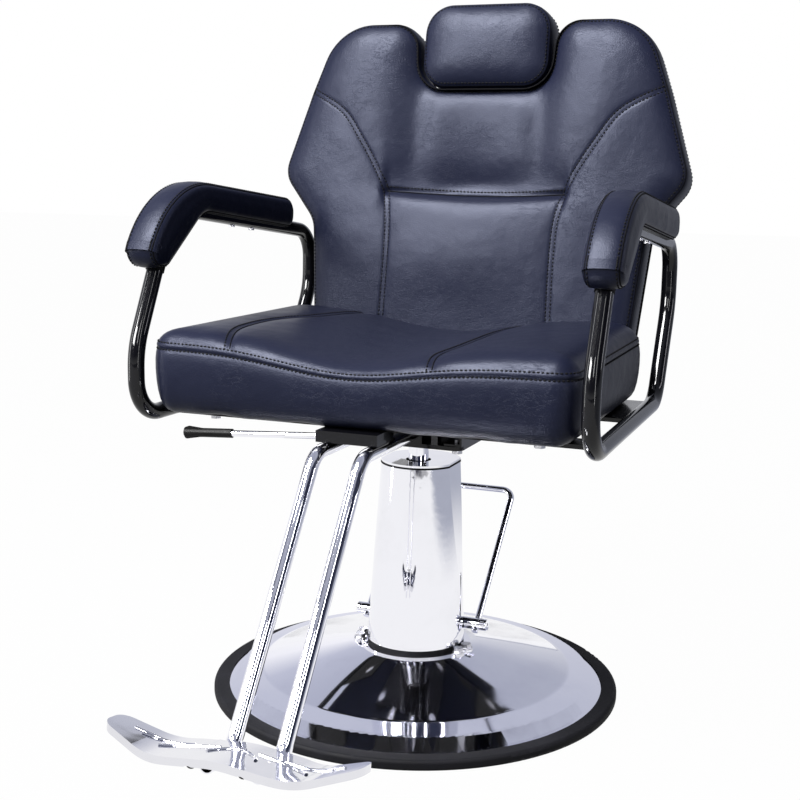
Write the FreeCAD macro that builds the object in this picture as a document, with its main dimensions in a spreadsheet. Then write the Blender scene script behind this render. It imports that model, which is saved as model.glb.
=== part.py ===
import FreeCAD, Part
import math
import os
import Sketcher

# A hydraulic reclining salon chair: weighted round base, pump column with its foot lever,
# swivelling seat on two arm loops, footrest on two tubes, reclining back and sliding headrest.
# Frame: Z up, the floor at Z 0, the column on the Z axis, the sitter faces -Y and has +X on the left.

V = FreeCAD.Vector
UP = V(0, 0, 1)
FULL_TURN = 360
RIGHT_ANGLE = 90

# Driving sizes, in millimetres and degrees
SIZES = {
    "overrun": 3,
    "seat_gap": 0.3,
    "running_gap": 0.06,
    "plate_thickness": 5.6,
    # Base
    "base_radius": 292,
    "ring_width": 22,
    "ring_height": 14.5,
    "ring_rounding": 5,
    "ring_lip": 1.6,
    "dish_bite": 6,
    "dish_wall": 2.5,
    "crease_inset": 40,
    "crease_height": 30,
    "crease_rounding": 6,
    "flange_top": 70,
    "pump_flange_thickness": 5,
    "pump_flange_radius": 79.5,
    "flange_lug_radius": 10,
    "dish_flat_radius": 94,
    "dish_bore_gap": 2,
    "dish_rim_flat": 4,
    "flange_bolt_circle": 80.5,
    "flange_bolt_size": 8,
    "flange_bolt_length": 16,
    "washer_thickness": 1.6,
    # Column and pump
    "cover_foot_radius": 70.5,
    "cover_foot_height": 76,
    "cover_top_radius": 57,
    "cover_top_height": 332.5,
    "cover_top_offset": 10,
    "cover_flat_half": 51.5,
    "cover_flat_lean_angle": 5,
    "cover_wall": 2,
    "gasket_thickness": 2.5,
    "gasket_proud": 0.6,
    "top_plate_thickness": 3,
    "top_plate_hole": 18,
    "pump_radius": 42,
    "pump_foot_height": 12,
    "pump_head_gap": 4,
    "gland_height": 8,
    "gland_radius": 24,
    "piston_radius": 14.5,
    "piston_reach": 34,
    "piston_foot_height": 60,
    # Pump lever
    "shaft_height": 97,
    "shaft_back": 24,
    "shaft_radius": 6,
    "shaft_half": 75,
    "sleeve_radius": 8.5,
    "sleeve_inner": 60,
    "sleeve_outer": 101,
    "sleeve_hole_gap": 1.5,
    "lever_half": 85,
    "lever_bar_radius": 5,
    "lever_reach": 229,
    "lever_below": 13,
    "lever_rounding": 17,
    "lever_rise_angle": 45,
    "grub_radius": 3,
    "grub_inset": 1.5,
    # Swivel head and rails
    "socket_radius": 17,
    "socket_depth": 12,
    "socket_roof": 4.5,
    "plate_rounding": 12,
    "plate_half": 98,
    "rail_wall": 3,
    "rail_flange": 25,
    "rail_front": 96,
    "rail_rear": 178,
    "head_bolt_size": 8,
    "head_bolt_spread": 78,
    "head_bolt_proud": 3,
    # Seat
    "seat_half_width": 291,
    "seat_rear_half_width": 283,
    "seat_front": 247,
    "seat_rear": 165,
    "seat_front_rounding": 32,
    "seat_rear_rounding": 46,
    "seat_stand": 39.4,
    "seat_crest_rise": 108.5,
    "seat_dish_rise": 75.5,
    "seat_dish_half": 170,
    "seat_board_thickness": 12,
    "seat_board_inset": 26,
    "seat_draw_in": 36,
    "frame_bolt_size": 8,
    "frame_bolt_x": 228,
    "frame_bolt_edge": 30,
    # Arm loops
    "arm_spread": 307,
    "arm_pivot_back": 200,
    "arm_toe_angle": 1.35,
    "arm_tube_radius": 11.2,
    "arm_tube_wall": 1.5,
    "arm_drop": 5.5,
    "arm_knee_rise": 91,
    "arm_front_reach": 46,
    "arm_peak_y": 42.7,
    "arm_peak_rise": 275,
    "arm_heel_y": 456,
    "arm_heel_rise": 225,
    "arm_hip_y": 455,
    "arm_hip_rise": 135,
    "arm_toe_y": 374,
    "arm_foot_rounding": 50,
    "arm_knee_rounding": 120,
    "arm_peak_rounding": 60,
    "arm_heel_rounding": 45,
    "arm_hip_rounding": 100,
    "cross_bar_front": 196,
    "cross_bar_width": 40,
    "arm_plate_front": 5,
    "arm_plate_width": 150,
    "arm_plate_inner": 195,
    # Arm pads
    "pad_half_width": 24,
    "pad_front_rise": 45,
    "pad_top_rise": 38,
    "pad_tail_rise": 43,
    "pad_under": 1,
    "pad_tail_reach": 322,
    "pad_nose_rise": 197,
    "pad_nose_depth": 52,
    "pad_nose_rounding": 10,
    "pad_bend_reach": 58,
    "pad_bend_rounding": 40,
    "pad_front_rounding": 120,
    "pad_end_rounding": 17,
    "pad_draw_in": 9,
    "pad_outset": 2.5,
    "pad_screw_radius": 4.5,
    "pad_screw_height": 2.4,
    "pad_screw_bite": 1.2,
    "pad_screw_shank": 2.4,
    "pad_screw_grip": 14,
    "pad_screw_first": 165,
    "pad_screw_pitch": 58,
    # Footrest
    "foot_tube_spread": 31.5,
    "foot_tube_radius": 9.4,
    "foot_tube_wall": 1.5,
    "foot_tube_rise": 14.9,
    "foot_tube_rear": 62,
    "foot_knee_y": 276,
    "foot_ankle_y": 494,
    "foot_ankle_height": 92,
    "foot_toe_y": 548,
    "foot_toe_height": 101.5,
    "buffer_y": 579,
    "buffer_radius": 6,
    "buffer_drop": 13.5,
    "buffer_bite": 2,
    "foot_knee_rounding": 40,
    "foot_ankle_rounding": 34,
    "bracket_half": 42,
    "bracket_front": 252,
    "bracket_depth": 54,
    "bracket_wall": 2.5,
    "saddle_depth": 36,
    "tread_half": 157,
    "tread_depth": 90,
    "tread_tip_depth": 40,
    "tread_shoulder": 66,
    "tread_shoulder_rounding": 80,
    "tread_middle_y": 542,
    "tread_height": 119,
    "tread_crest": 2,
    "tread_dip": 7,
    "tread_tip": 16,
    "tread_dip_x": 92,
    "tread_wall": 4,
    "tread_rim": 9,
    "tread_rim_width": 6,
    "tread_tip_rounding": 19,
    "tread_crest_rounding": 170,
    "tread_dip_rounding": 90,
    "tread_edge_rounding": 1.2,
    "tread_tilt_angle": 10,
    "tread_boss_half": 12,
    "tread_boss_length": 46,
    "tread_boss_drop": 21,
    # Recline lever and lock
    "grip_lever_y": 243,
    "grip_lever_rise": 31.3,
    "grip_lever_root": 28,
    "grip_lever_droop_angle": 3.5,
    "grip_rod_radius": 4.2,
    "grip_slot_gap": 0.8,
    "lever_pin_radius": 2,
    "pin_proud": 2,
    "grip_rod_length": 144,
    "grip_start": 138,
    "grip_length": 70,
    "grip_radius": 6,
    "grip_blade_length": 34,
    "grip_blade_height": 17,
    "grip_blade_thickness": 8,
    "lock_x": 60,
    "lock_rise": 13.9,
    "lock_pin_reach": 33,
    "lock_radius": 9.5,
    "lock_rod_radius": 4,
    "lock_front": 40,
    "lock_rear": 128,
    "lock_bore_depth": 100,
    "lock_rod_inside": 62,
    "lock_pin_radius": 4,
    "lock_pin_start": 20,
    "lock_eye_clearance": 2,
    "lock_eye_wall": 3,
    "lock_eye_width": 9,
    "lock_fork_wall": 4,
    "lock_fork_gap": 0.5,
    "lock_anchor_depth": 20,
    # Back
    "hinge_y": 205,
    "hinge_rise": 45.9,
    "axle_radius": 9,
    "axle_half": 118.5,
    "ear_thickness": 6,
    "ear_radius": 14,
    "ear_front": 110,
    "ear_step": 9,
    "back_arm_thickness": 6,
    "back_arm_width": 27,
    "back_arm_height": 180,
    "back_flange_width": 24,
    "back_flange_height": 110,
    "back_screw_radius": 5,
    "back_screw_height": 3,
    "back_screw_edge": 18,
    "back_lean_angle": 9.5,
    "back_face": 36,
    "back_crown": 8,
    "back_draw_in": 34,
    "back_core_depth": 67.7,
    "back_bottom": 18,
    "back_bottom_half": 249,
    "back_waist_half": 268,
    "back_waist_height": 236,
    "back_wing_half": 321,
    "back_wing_height": 306,
    "back_shoulder_half": 276,
    "back_shoulder_height": 434,
    "back_lobe_half": 246,
    "back_top": 541,
    "notch_top_half": 112,
    "notch_half": 104,
    "notch_height": 440,
    "back_bottom_rounding": 28,
    "back_waist_rounding": 44,
    "back_wing_rounding": 34,
    "back_shoulder_rounding": 90,
    "back_lobe_rounding": 84,
    "notch_top_rounding": 40,
    "notch_rounding": 44,
    "back_dish_depth": 9,
    "back_dish_half": 160,
    "back_board_thickness": 12,
    "back_board_inset": 6,
    "back_cover_thickness": 3,
    "back_cover_inset": 4,
    "seam_depth": 3,
    "seam_width": 5,
    "seam_cross_half": 146,
    "seam_cross_height": 284,
    # Headrest
    "rest_half": 101,
    "rest_bottom": 444,
    "rest_height": 126,
    "rest_rounding": 44,
    "rest_front": 40,
    "rest_rear": 34,
    "rest_draw_in": 32,
    "post_spread": 40,
    "post_radius": 5,
    "post_depth": 2,
    "post_length": 132,
    "post_inside": 26,
    "bush_radius": 8,
    "bush_length": 112,
    "bush_rim": 2,
}

# Where the four flange bolts stand round the column, in degrees from +X
FLANGE_BOLT_ANGLES = (-20, -5, 185, 200)


class Size:
    """A number that remembers the spreadsheet expression it comes from."""

    def __init__(self, value, text):
        self.value = float(value)
        self.text = text

    def __float__(self):
        return self.value

    def __neg__(self):
        return Size(-self.value, f"-({self.text})")

    def __add__(self, other):
        other = as_size(other)
        return Size(self.value + other.value, f"({self.text} + {other.text})")

    def __sub__(self, other):
        other = as_size(other)
        return Size(self.value - other.value, f"({self.text} - {other.text})")

    def __mul__(self, other):
        other = as_size(other)
        return Size(self.value * other.value, f"({self.text} * {other.text})")

    def __truediv__(self, other):
        other = as_size(other)
        return Size(self.value / other.value, f"({self.text} / {other.text})")

    def __radd__(self, other):
        return as_size(other) + self

    def __rsub__(self, other):
        return as_size(other) - self

    def __rmul__(self, other):
        return as_size(other) * self


def as_size(number):
    if isinstance(number, Size):
        return number
    return Size(number, f"({number})")


class Sheet:
    """The sizes as attributes, each read from its own cell of the spreadsheet."""

    def __init__(self, doc):
        self._cells = doc.addObject("Spreadsheet::Sheet", "Sizes")
        for row, (name, number) in enumerate(SIZES.items(), start=1):
            self._cells.set(f"A{row}", name)
            self._cells.set(f"B{row}", str(number))
            self._cells.setAlias(f"B{row}", name)
        doc.recompute()

    def __getattr__(self, name):
        return Size(getattr(self._cells, name), f"Sizes.{name}")


doc = FreeCAD.newDocument("reclining_salon_chair")
s = Sheet(doc)
nodes = []


# Binding and placing

def bind(obj, path, size):
    obj.setExpression(path, as_size(size).text)


def place(obj, x=0, y=0, z=0, axis=UP, angle=0):
    """Put an object at named sizes, turned about an axis through that point."""
    spot = V(float(x), float(y), float(z))
    obj.Placement = FreeCAD.Placement(spot, FreeCAD.Rotation(axis, float(angle)))
    for path, size in (("x", x), ("y", y), ("z", z)):
        if isinstance(size, Size):
            bind(obj, f"Placement.Base.{path}", size)
    return obj


def keep(obj, label):
    """Name an object as one piece of the chair."""
    obj.Label = label
    nodes.append(obj)
    return obj


# Part Design helpers

def new_body(label):
    return keep(doc.addObject("PartDesign::Body", label), label)


def new_sketch(body, role, height=None):
    """Add a sketch on one of the body's own planes, lifted off it by a height."""
    sketch = body.newObject("Sketcher::SketchObject", f"{body.Label}_sketch")
    plane = [item for item in body.Origin.OriginFeatures if item.Role == role][0]
    sketch.AttachmentSupport = [(plane, "")]
    sketch.MapMode = "FlatFace"
    if height is not None:
        bind(sketch, "AttachmentOffset.Base.z", height)
    return sketch


def hold_point(sketch, geometry, end, x, y):
    """Fix one point of a sketch at named distances from its origin."""
    for kind, size in (("DistanceX", x), ("DistanceY", y)):
        index = sketch.addConstraint(Sketcher.Constraint(kind, geometry, end, float(size)))
        if isinstance(size, Size):
            bind(sketch, f"Constraints[{index}]", size)


def draw_circle(sketch, x, y, radius):
    circle = Part.Circle(V(float(x), float(y), 0), UP, float(radius))
    index = sketch.addGeometry(circle)
    hold_point(sketch, index, 3, x, y)
    rule = sketch.addConstraint(Sketcher.Constraint("Radius", index, float(radius)))
    bind(sketch, f"Constraints[{rule}]", radius)


def round_corner(before, corner, after, radius):
    """Work out the two ends, middle, centre and turn of the arc that rounds a corner."""
    into = (corner - before).normalize()
    away = (after - corner).normalize()
    turn = math.acos(max(-1.0, min(1.0, into.dot(away))))
    setback = radius * math.tan(turn / 2)
    first = corner - into * setback
    last = corner + away * setback
    inward = (away - into).normalize()
    centre = corner + inward * (radius / math.cos(turn / 2))
    middle = centre - inward * radius
    left = into.cross(away).dot(UP) > 0
    return first, middle, last, centre, left


def draw_outline(sketch, corners, closed=True):
    """Draw lines through corners (x, y) or (x, y, radius), with an arc at each radius."""
    count = len(corners)
    spots = [V(float(c[0]), float(c[1]), 0) for c in corners]
    arcs = {}
    for i, corner in enumerate(corners):
        inner = closed or 0 < i < count - 1
        if len(corner) == 3 and inner:
            arcs[i] = round_corner(spots[i - 1], spots[i], spots[(i + 1) % count], float(corner[2]))
    lines = []
    for i in range(count if closed else count - 1):
        j = (i + 1) % count
        start = arcs[i][2] if i in arcs else spots[i]
        end = arcs[j][0] if j in arcs else spots[j]
        lines.append(sketch.addGeometry(Part.LineSegment(start, end)))
    for i in range(count):
        before = lines[i - 1] if closed or i > 0 else None
        after = lines[i] if i < len(lines) else None
        if i in arcs:
            draw_corner(sketch, corners[i], arcs[i], spots[i], before, after)
            continue
        if before is not None and after is not None:
            sketch.addConstraint(Sketcher.Constraint("Coincident", before, 2, after, 1))
        if after is not None:
            hold_point(sketch, after, 1, corners[i][0], corners[i][1])
        else:
            hold_point(sketch, before, 2, corners[i][0], corners[i][1])


def draw_corner(sketch, corner, arc, spot, before, after):
    """Round one corner with a tangent arc that stays tied to the corner's own point."""
    first, middle, last, centre, left = arc
    start, end = (first, last) if left else (last, first)
    low = math.atan2(start.y - centre.y, start.x - centre.x)
    high = math.atan2(end.y - centre.y, end.x - centre.x)
    circle = Part.Circle(centre, UP, float(corner[2]))
    curve = sketch.addGeometry(Part.ArcOfCircle(circle, low, high))
    point = sketch.addGeometry(Part.Point(spot), True)
    sketch.addConstraint(Sketcher.Constraint("Tangent", before, 2, curve, 1 if left else 2))
    sketch.addConstraint(Sketcher.Constraint("Tangent", after, 1, curve, 2 if left else 1))
    sketch.addConstraint(Sketcher.Constraint("PointOnObject", point, 1, before))
    sketch.addConstraint(Sketcher.Constraint("PointOnObject", point, 1, after))
    rule = sketch.addConstraint(Sketcher.Constraint("Radius", curve, float(corner[2])))
    bind(sketch, f"Constraints[{rule}]", corner[2])
    hold_point(sketch, point, 1, corner[0], corner[1])


def add_pad(body, sketch, length, side="One side", backwards=False):
    feature = body.newObject("PartDesign::Pad", f"{body.Label}_pad")
    feature.Profile = sketch
    feature.SideType = side
    feature.Reversed = backwards
    bind(feature, "Length", length)
    return feature


def cut_through(body, sketch):
    """Pocket a sketch all the way through the solid, both ways."""
    feature = body.newObject("PartDesign::Pocket", f"{body.Label}_pocket")
    feature.Profile = sketch
    feature.Midplane = True
    feature.Type = "ThroughAll"
    return feature


def add_turned(body, sketch):
    """Turn a sketch in the XZ plane once round the Z axis."""
    feature = body.newObject("PartDesign::Revolution", f"{body.Label}_turned")
    feature.Profile = sketch
    feature.ReferenceAxis = (sketch, ["V_Axis"])
    feature.Angle = FULL_TURN
    return feature


def turned_body(label, corners):
    body = new_body(label)
    sketch = new_sketch(body, "XZ_Plane")
    draw_outline(sketch, corners)
    add_turned(body, sketch)
    return body


# Part helpers

def new_cylinder(label, radius, length, x=0, y=0, z=0, axis=UP, angle=0):
    item = doc.addObject("Part::Cylinder", label)
    item.Label = label
    bind(item, "Radius", radius)
    bind(item, "Height", length)
    return place(item, x, y, z, axis, angle)


def new_box(label, length, width, tall, x=0, y=0, z=0):
    """A box that starts at the point x, y, z."""
    item = doc.addObject("Part::Box", label)
    item.Label = label
    bind(item, "Length", length)
    bind(item, "Width", width)
    bind(item, "Height", tall)
    return place(item, x, y, z)


def cut_away(label, base, *tools):
    """Cut tools one after another from a base."""
    for number, tool in enumerate(tools, start=1):
        step = doc.addObject("Part::Cut", f"{label}_cut_{number}")
        step.Base = base
        step.Tool = tool
        step.Label = step.Name
        base = step
    base.Label = label
    return base


def join(label, *items):
    fused = doc.addObject("Part::MultiFuse", label)
    fused.Shapes = list(items)
    fused.Label = label
    return fused


def overlap_of(label, first, second):
    common = doc.addObject("Part::MultiCommon", label)
    common.Shapes = [first, second]
    common.Label = label
    return common


def set_shape(label, shape, placement=None):
    """Hold a shape made by Part's own functions as one piece."""
    item = doc.addObject("Part::Feature", label)
    item.Shape = shape
    if placement is not None:
        item.Placement = placement
    return keep(item, label)


def along_x(radius, length, x, y, z):
    """A plain round bar along X, from the point x, y, z."""
    return Part.makeCylinder(float(radius), float(length), V(float(x), float(y), float(z)), V(1, 0, 0))


def outline_edges(corners, lift):
    """Lines and arcs through corners (a, b, radius), each point mapped into space by lift."""
    count = len(corners)
    spots = [V(c[0], c[1], 0) for c in corners]
    arcs = [round_corner(spots[i - 1], spots[i], spots[(i + 1) % count], corners[i][2]) for i in range(count)]
    edges = []
    for i in range(count):
        first, middle, last = arcs[i][:3]
        edges.append(Part.Arc(lift(first), lift(middle), lift(last)).toShape())
        following = arcs[(i + 1) % count][0]
        edges.append(Part.LineSegment(lift(last), lift(following)).toShape())
    return edges


LEAST_RADIUS_SHARE = 0.12


def inset_outline(corners, inset):
    """Draw a counter-clockwise outline in by a distance, with its corner radii to match."""
    count = len(corners)
    spots = [V(c[0], c[1], 0) for c in corners]
    drawn = []
    for i in range(count):
        into = (spots[i] - spots[i - 1]).normalize()
        away = (spots[(i + 1) % count] - spots[i]).normalize()
        side_in = UP.cross(into)
        side_away = UP.cross(away)
        bisector = side_in + side_away
        spot = spots[i] + bisector * (inset / (1 + side_in.dot(side_away)))
        convex = into.cross(away).dot(UP) > 0
        radius = corners[i][2] - inset if convex else corners[i][2] + inset
        drawn.append((spot.x, spot.y, max(radius, corners[i][2] * LEAST_RADIUS_SHARE)))
    return drawn


def padded_form(corners, levels, lift_at):
    """Loft a cushion through its outline, drawn in by each level's inset at that level's depth."""
    wires = []
    for depth, inset in levels:
        edges = outline_edges(inset_outline(corners, inset), lift_at(depth))
        wires.append(Part.Wire(edges))
    return Part.makeLoft(wires, True, False)


def tube_path(corners, closed=False):
    """A wire of lines and arcs through points (point, radius)."""
    count = len(corners)
    ends = []
    for i, (spot, radius) in enumerate(corners):
        if not radius or (not closed and i in (0, count - 1)):
            ends.append((spot, None, spot))
            continue
        into = (spot - corners[i - 1][0]).normalize()
        away = (corners[(i + 1) % count][0] - spot).normalize()
        turn = into.getAngle(away)
        setback = radius * math.tan(turn / 2)
        inward = (away - into).normalize()
        centre = spot + inward * (radius / math.cos(turn / 2))
        ends.append((spot - into * setback, centre - inward * radius, spot + away * setback))
    edges = []
    for i in range(count if closed else count - 1):
        first, middle, last = ends[i]
        if middle is not None:
            edges.append(Part.Arc(first, middle, last).toShape())
        edges.append(Part.LineSegment(last, ends[(i + 1) % count][0]).toShape())
    return Part.Wire(edges)


def sweep_round(path, radius):
    """Sweep a circle along a wire, starting square to its first edge."""
    edge = path.OrderedEdges[0]
    start = edge.valueAt(edge.FirstParameter)
    heading = edge.tangentAt(edge.FirstParameter)
    circle = Part.Wire(Part.makeCircle(radius, start, heading))
    return path.makePipeShell([circle], True, False)


def cosine(angle):
    angle = as_size(angle)
    return Size(math.cos(math.radians(angle.value)), f"cos({angle.text} * 1 deg)")


def sine(angle):
    angle = as_size(angle)
    return Size(math.sin(math.radians(angle.value)), f"sin({angle.text} * 1 deg)")


def tangent(angle):
    angle = as_size(angle)
    return Size(math.tan(math.radians(angle.value)), f"tan({angle.text} * 1 deg)")


# Heights that several pieces share

cover_top = s.cover_top_height
top_plate_bottom = cover_top + s.gasket_thickness
piston_top = top_plate_bottom + s.top_plate_thickness + s.piston_reach
socket_bottom = piston_top - s.socket_depth
head_plate_bottom = piston_top + s.socket_roof
head_plate_top = head_plate_bottom + s.plate_thickness
seat_bottom = head_plate_top + s.seat_stand
seat_crest = seat_bottom + s.seat_crest_rise
seat_dish_low = seat_bottom + s.seat_dish_rise
frame_plate_bottom = seat_bottom - s.plate_thickness
foot_tube_height = head_plate_top + s.foot_tube_rise
grip_lever_height = head_plate_top + s.grip_lever_rise
lock_height = head_plate_top + s.lock_rise
hinge_height = head_plate_top + s.hinge_rise
arm_bottom = seat_bottom - s.arm_drop
arm_knee_height = arm_bottom + s.arm_knee_rise
arm_peak_height = arm_bottom + s.arm_peak_rise
arm_heel_height = arm_bottom + s.arm_heel_rise
arm_hip_height = arm_bottom + s.arm_hip_rise
pad_nose_height = arm_bottom + s.pad_nose_rise


# Fasteners

HEX_RADIUS_SHARE = 0.93
HEAD_HEIGHT_SHARE = 0.66
WASHER_RADIUS_SHARE = 1.15


def hex_bolt(size, length):
    """A hexagon bolt with its washer, standing on Z 0 with its shank down."""
    size = float(size)
    washer = float(s.washer_thickness)
    head = Part.makePolygon([
        V(size * HEX_RADIUS_SHARE, 0, washer),
        *[
            V(size * HEX_RADIUS_SHARE * math.cos(math.pi * k / 3),
              size * HEX_RADIUS_SHARE * math.sin(math.pi * k / 3), washer)
            for k in range(1, 6)
        ],
        V(size * HEX_RADIUS_SHARE, 0, washer),
    ])
    head = Part.Face(head).extrude(UP * (size * HEAD_HEIGHT_SHARE))
    plate = Part.makeCylinder(size * WASHER_RADIUS_SHARE, washer)
    shank = Part.makeCylinder(size / 2, float(length), V(0, 0, -float(length)))
    return head.fuse([plate, shank]).removeSplitter()


def bolt_group(label, size, length, spots, height, heads_down=False):
    """Identical bolts at (x, y) spots, kept as one piece."""
    bolts = []
    for x, y in spots:
        bolt = hex_bolt(size, length)
        if heads_down:
            bolt.rotate(V(0, 0, 0), V(1, 0, 0), 2 * RIGHT_ANGLE)
        bolt.translate(V(float(x), float(y), float(height)))
        bolts.append(bolt)
    return set_shape(label, Part.makeCompound(bolts))


def flange_bolt_spots():
    return [
        (s.flange_bolt_circle * cosine(angle), s.flange_bolt_circle * sine(angle))
        for angle in FLANGE_BOLT_ANGLES
    ]


def head_bolt_spots():
    x = s.plate_half - s.rail_flange / 2
    return [(x * side, s.head_bolt_spread * end) for side in (1, -1) for end in (1, -1)]


def frame_bolt_spots():
    x = s.frame_bolt_x
    front = -(s.cross_bar_front - s.cross_bar_width / 2)
    first = s.frame_bolt_edge - s.arm_plate_front
    last = s.arm_plate_width - s.arm_plate_front - s.frame_bolt_edge
    return [(x * side, y) for side in (1, -1) for y in (front, first, last)]


def drill(body, spots, radius):
    """Drill round holes at (x, y) spots right through a body, along Z."""
    sketch = new_sketch(body, "XY_Plane")
    for x, y in spots:
        draw_circle(sketch, x, y, radius)
    return cut_through(body, sketch)


# Base

def base_ring():
    outer = s.base_radius
    inner = outer - s.ring_width
    groove = inner + s.dish_bite + s.seat_gap
    lip = s.ring_height - s.ring_lip
    ledge = lip - s.dish_wall - s.seat_gap * 2
    turned_body("base_ring", [
        (inner, 0), (outer, 0, s.ring_rounding), (outer, s.ring_height, s.ring_rounding),
        (inner, s.ring_height), (inner, lip), (groove, lip), (groove, ledge), (inner, ledge),
    ])


def base_dish():
    bore = s.pump_radius + s.dish_bore_gap
    wall = s.dish_wall
    top = s.flange_top - s.pump_flange_thickness
    crease = s.base_radius - s.crease_inset
    rim = s.base_radius - s.ring_width - s.dish_rim_flat
    rim_end = s.base_radius - s.ring_width + s.dish_bite
    rim_top = s.ring_height - s.ring_lip - s.seat_gap
    body = turned_body("base_dish", [
        (bore, top), (s.dish_flat_radius, top, s.crease_rounding),
        (crease, s.crease_height, s.crease_rounding), (rim, rim_top, s.crease_rounding),
        (rim_end, rim_top), (rim_end, rim_top - wall), (rim - wall / 2, rim_top - wall, s.crease_rounding),
        (crease - wall / 2, s.crease_height - wall, s.crease_rounding),
        (s.dish_flat_radius - wall / 2, top - wall, s.crease_rounding), (bore, top - wall),
    ])
    drill(body, flange_bolt_spots(), s.flange_bolt_size / 2 + s.seat_gap)


def pump_flange():
    """A round plate on top of the dish, with a lug under each bolt."""
    bottom = s.flange_top - s.pump_flange_thickness
    body = turned_body("pump_flange", [
        (s.pump_radius, s.flange_top), (s.pump_flange_radius, s.flange_top),
        (s.pump_flange_radius, bottom), (s.pump_radius, bottom),
    ])
    lugs = new_sketch(body, "XY_Plane", bottom)
    for x, y in flange_bolt_spots():
        draw_circle(lugs, x, y, s.flange_lug_radius)
    add_pad(body, lugs, s.pump_flange_thickness)
    drill(body, flange_bolt_spots(), s.flange_bolt_size / 2 + s.seat_gap)


def flange_bolts():
    bolt_group("flange_bolts", s.flange_bolt_size, s.flange_bolt_length, flange_bolt_spots(), s.flange_top)


# Column cover, drawn as a leaning cone with a flat on either side

def cover_circle(label, radius, y, z):
    item = doc.addObject("Part::Circle", label)
    bind(item, "Radius", radius)
    return place(item, 0, y, z)


def cover_cone(label, shrink):
    item = doc.addObject("Part::Loft", label)
    low = cover_circle(f"{label}_foot", s.cover_foot_radius - shrink, 0, s.cover_foot_height)
    high = cover_circle(f"{label}_top", s.cover_top_radius - shrink, s.cover_top_offset, cover_top)
    item.Sections = [low, high]
    item.Solid = True
    item.Ruled = True
    return item


def cover_flats(label, shrink):
    """A tapered block whose two sides are the flats."""
    item = doc.addObject("Part::Wedge", label)
    tall = cover_top - s.cover_foot_height
    high = s.cover_flat_half - shrink
    low = high + tall * tangent(s.cover_flat_lean_angle)
    deep = s.cover_foot_radius + s.overrun
    limits = {
        "Ymin": 0, "Ymax": tall, "Xmin": -low, "Xmax": low, "X2min": -high, "X2max": high,
        "Zmin": -deep, "Zmax": deep, "Z2min": -deep, "Z2max": deep,
    }
    for path, size in limits.items():
        bind(item, path, size)
    return place(item, 0, 0, s.cover_foot_height, V(1, 0, 0), RIGHT_ANGLE)


def column_cover():
    outer = overlap_of("cover_outer", cover_cone("cover_outer_cone", 0), cover_flats("cover_outer_flats", 0))
    inner = overlap_of(
        "cover_inner", cover_cone("cover_inner_cone", s.cover_wall),
        cover_flats("cover_inner_flats", s.cover_wall))
    reach = s.cover_foot_radius + s.overrun
    hole = new_cylinder(
        "cover_shaft_hole", s.sleeve_radius + s.sleeve_hole_gap, reach * 2,
        -reach, s.shaft_back, s.shaft_height, V(0, 1, 0), RIGHT_ANGLE)
    keep(cut_away("column_cover", outer, inner, hole), "column_cover")


def cover_lid(label, bottom, thickness, proud):
    """A flat lid with the outline of the cover's top, standing proud of it all round."""
    disc = new_cylinder(
        f"{label}_disc", s.cover_top_radius + proud, thickness, 0, s.cover_top_offset, bottom)
    half = s.cover_flat_half + proud
    deep = s.cover_top_radius + s.overrun
    block = new_box(
        f"{label}_block", half * 2, deep * 2, thickness, -half, s.cover_top_offset - deep, bottom)
    hole = new_cylinder(
        f"{label}_hole", s.top_plate_hole, thickness + s.overrun * 2, 0, 0, bottom - s.overrun)
    return cut_away(label, overlap_of(f"{label}_outline", disc, block), hole)


def column_top():
    keep(cover_lid("column_gasket", cover_top, s.gasket_thickness, s.gasket_proud), "column_gasket")
    keep(cover_lid("column_top_plate", top_plate_bottom, s.top_plate_thickness, 0), "column_top_plate")


def column_seal():
    outer = s.cover_foot_radius - s.gasket_proud
    inner = outer - s.cover_wall * 2
    turned_body("column_seal", [
        (inner, s.flange_top), (outer, s.flange_top), (outer, s.cover_foot_height),
        (inner, s.cover_foot_height),
    ])


# Pump

def pump_body():
    top = cover_top - s.pump_head_gap - s.gland_height
    bore = s.piston_radius + s.running_gap
    floor = s.piston_foot_height - s.overrun
    body = turned_body("pump_body", [
        (0, s.pump_foot_height), (s.pump_radius, s.pump_foot_height), (s.pump_radius, top), (bore, top),
        (bore, floor), (0, floor),
    ])
    sketch = new_sketch(body, "YZ_Plane")
    draw_circle(sketch, s.shaft_back, s.shaft_height, s.shaft_radius + s.running_gap)
    cut_through(body, sketch)


def piston_gland():
    bottom = cover_top - s.pump_head_gap - s.gland_height
    bore = s.piston_radius + s.running_gap
    turned_body("piston_gland", [
        (bore, bottom), (s.gland_radius, bottom), (s.gland_radius, bottom + s.gland_height),
        (bore, bottom + s.gland_height),
    ])


def piston_rod():
    tall = piston_top - s.piston_foot_height
    keep(new_cylinder("piston_rod", s.piston_radius, tall, 0, 0, s.piston_foot_height), "piston_rod")


# Pump lever

def on_shaft(obj):
    return place(obj, 0, s.shaft_back, s.shaft_height, V(1, 0, 0), s.lever_rise_angle)


def lever_shaft():
    keep(new_cylinder(
        "lever_shaft", s.shaft_radius, s.shaft_half * 2,
        -s.shaft_half, s.shaft_back, s.shaft_height, V(0, 1, 0), RIGHT_ANGLE), "lever_shaft")


def lever_bar():
    body = new_body("lever_bar")
    half = s.lever_half
    path = new_sketch(body, "XY_Plane")
    draw_outline(path, [
        (-half, -s.lever_below), (-half, s.lever_reach, s.lever_rounding),
        (half, s.lever_reach, s.lever_rounding), (half, -s.lever_below),
    ], closed=False)
    section = new_sketch(body, "XZ_Plane", s.lever_below)
    draw_circle(section, -half, 0, s.lever_bar_radius)
    pipe = body.newObject("PartDesign::AdditivePipe", "lever_bar_pipe")
    pipe.Profile = section
    pipe.Spine = (path, [])
    on_shaft(body)


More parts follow.
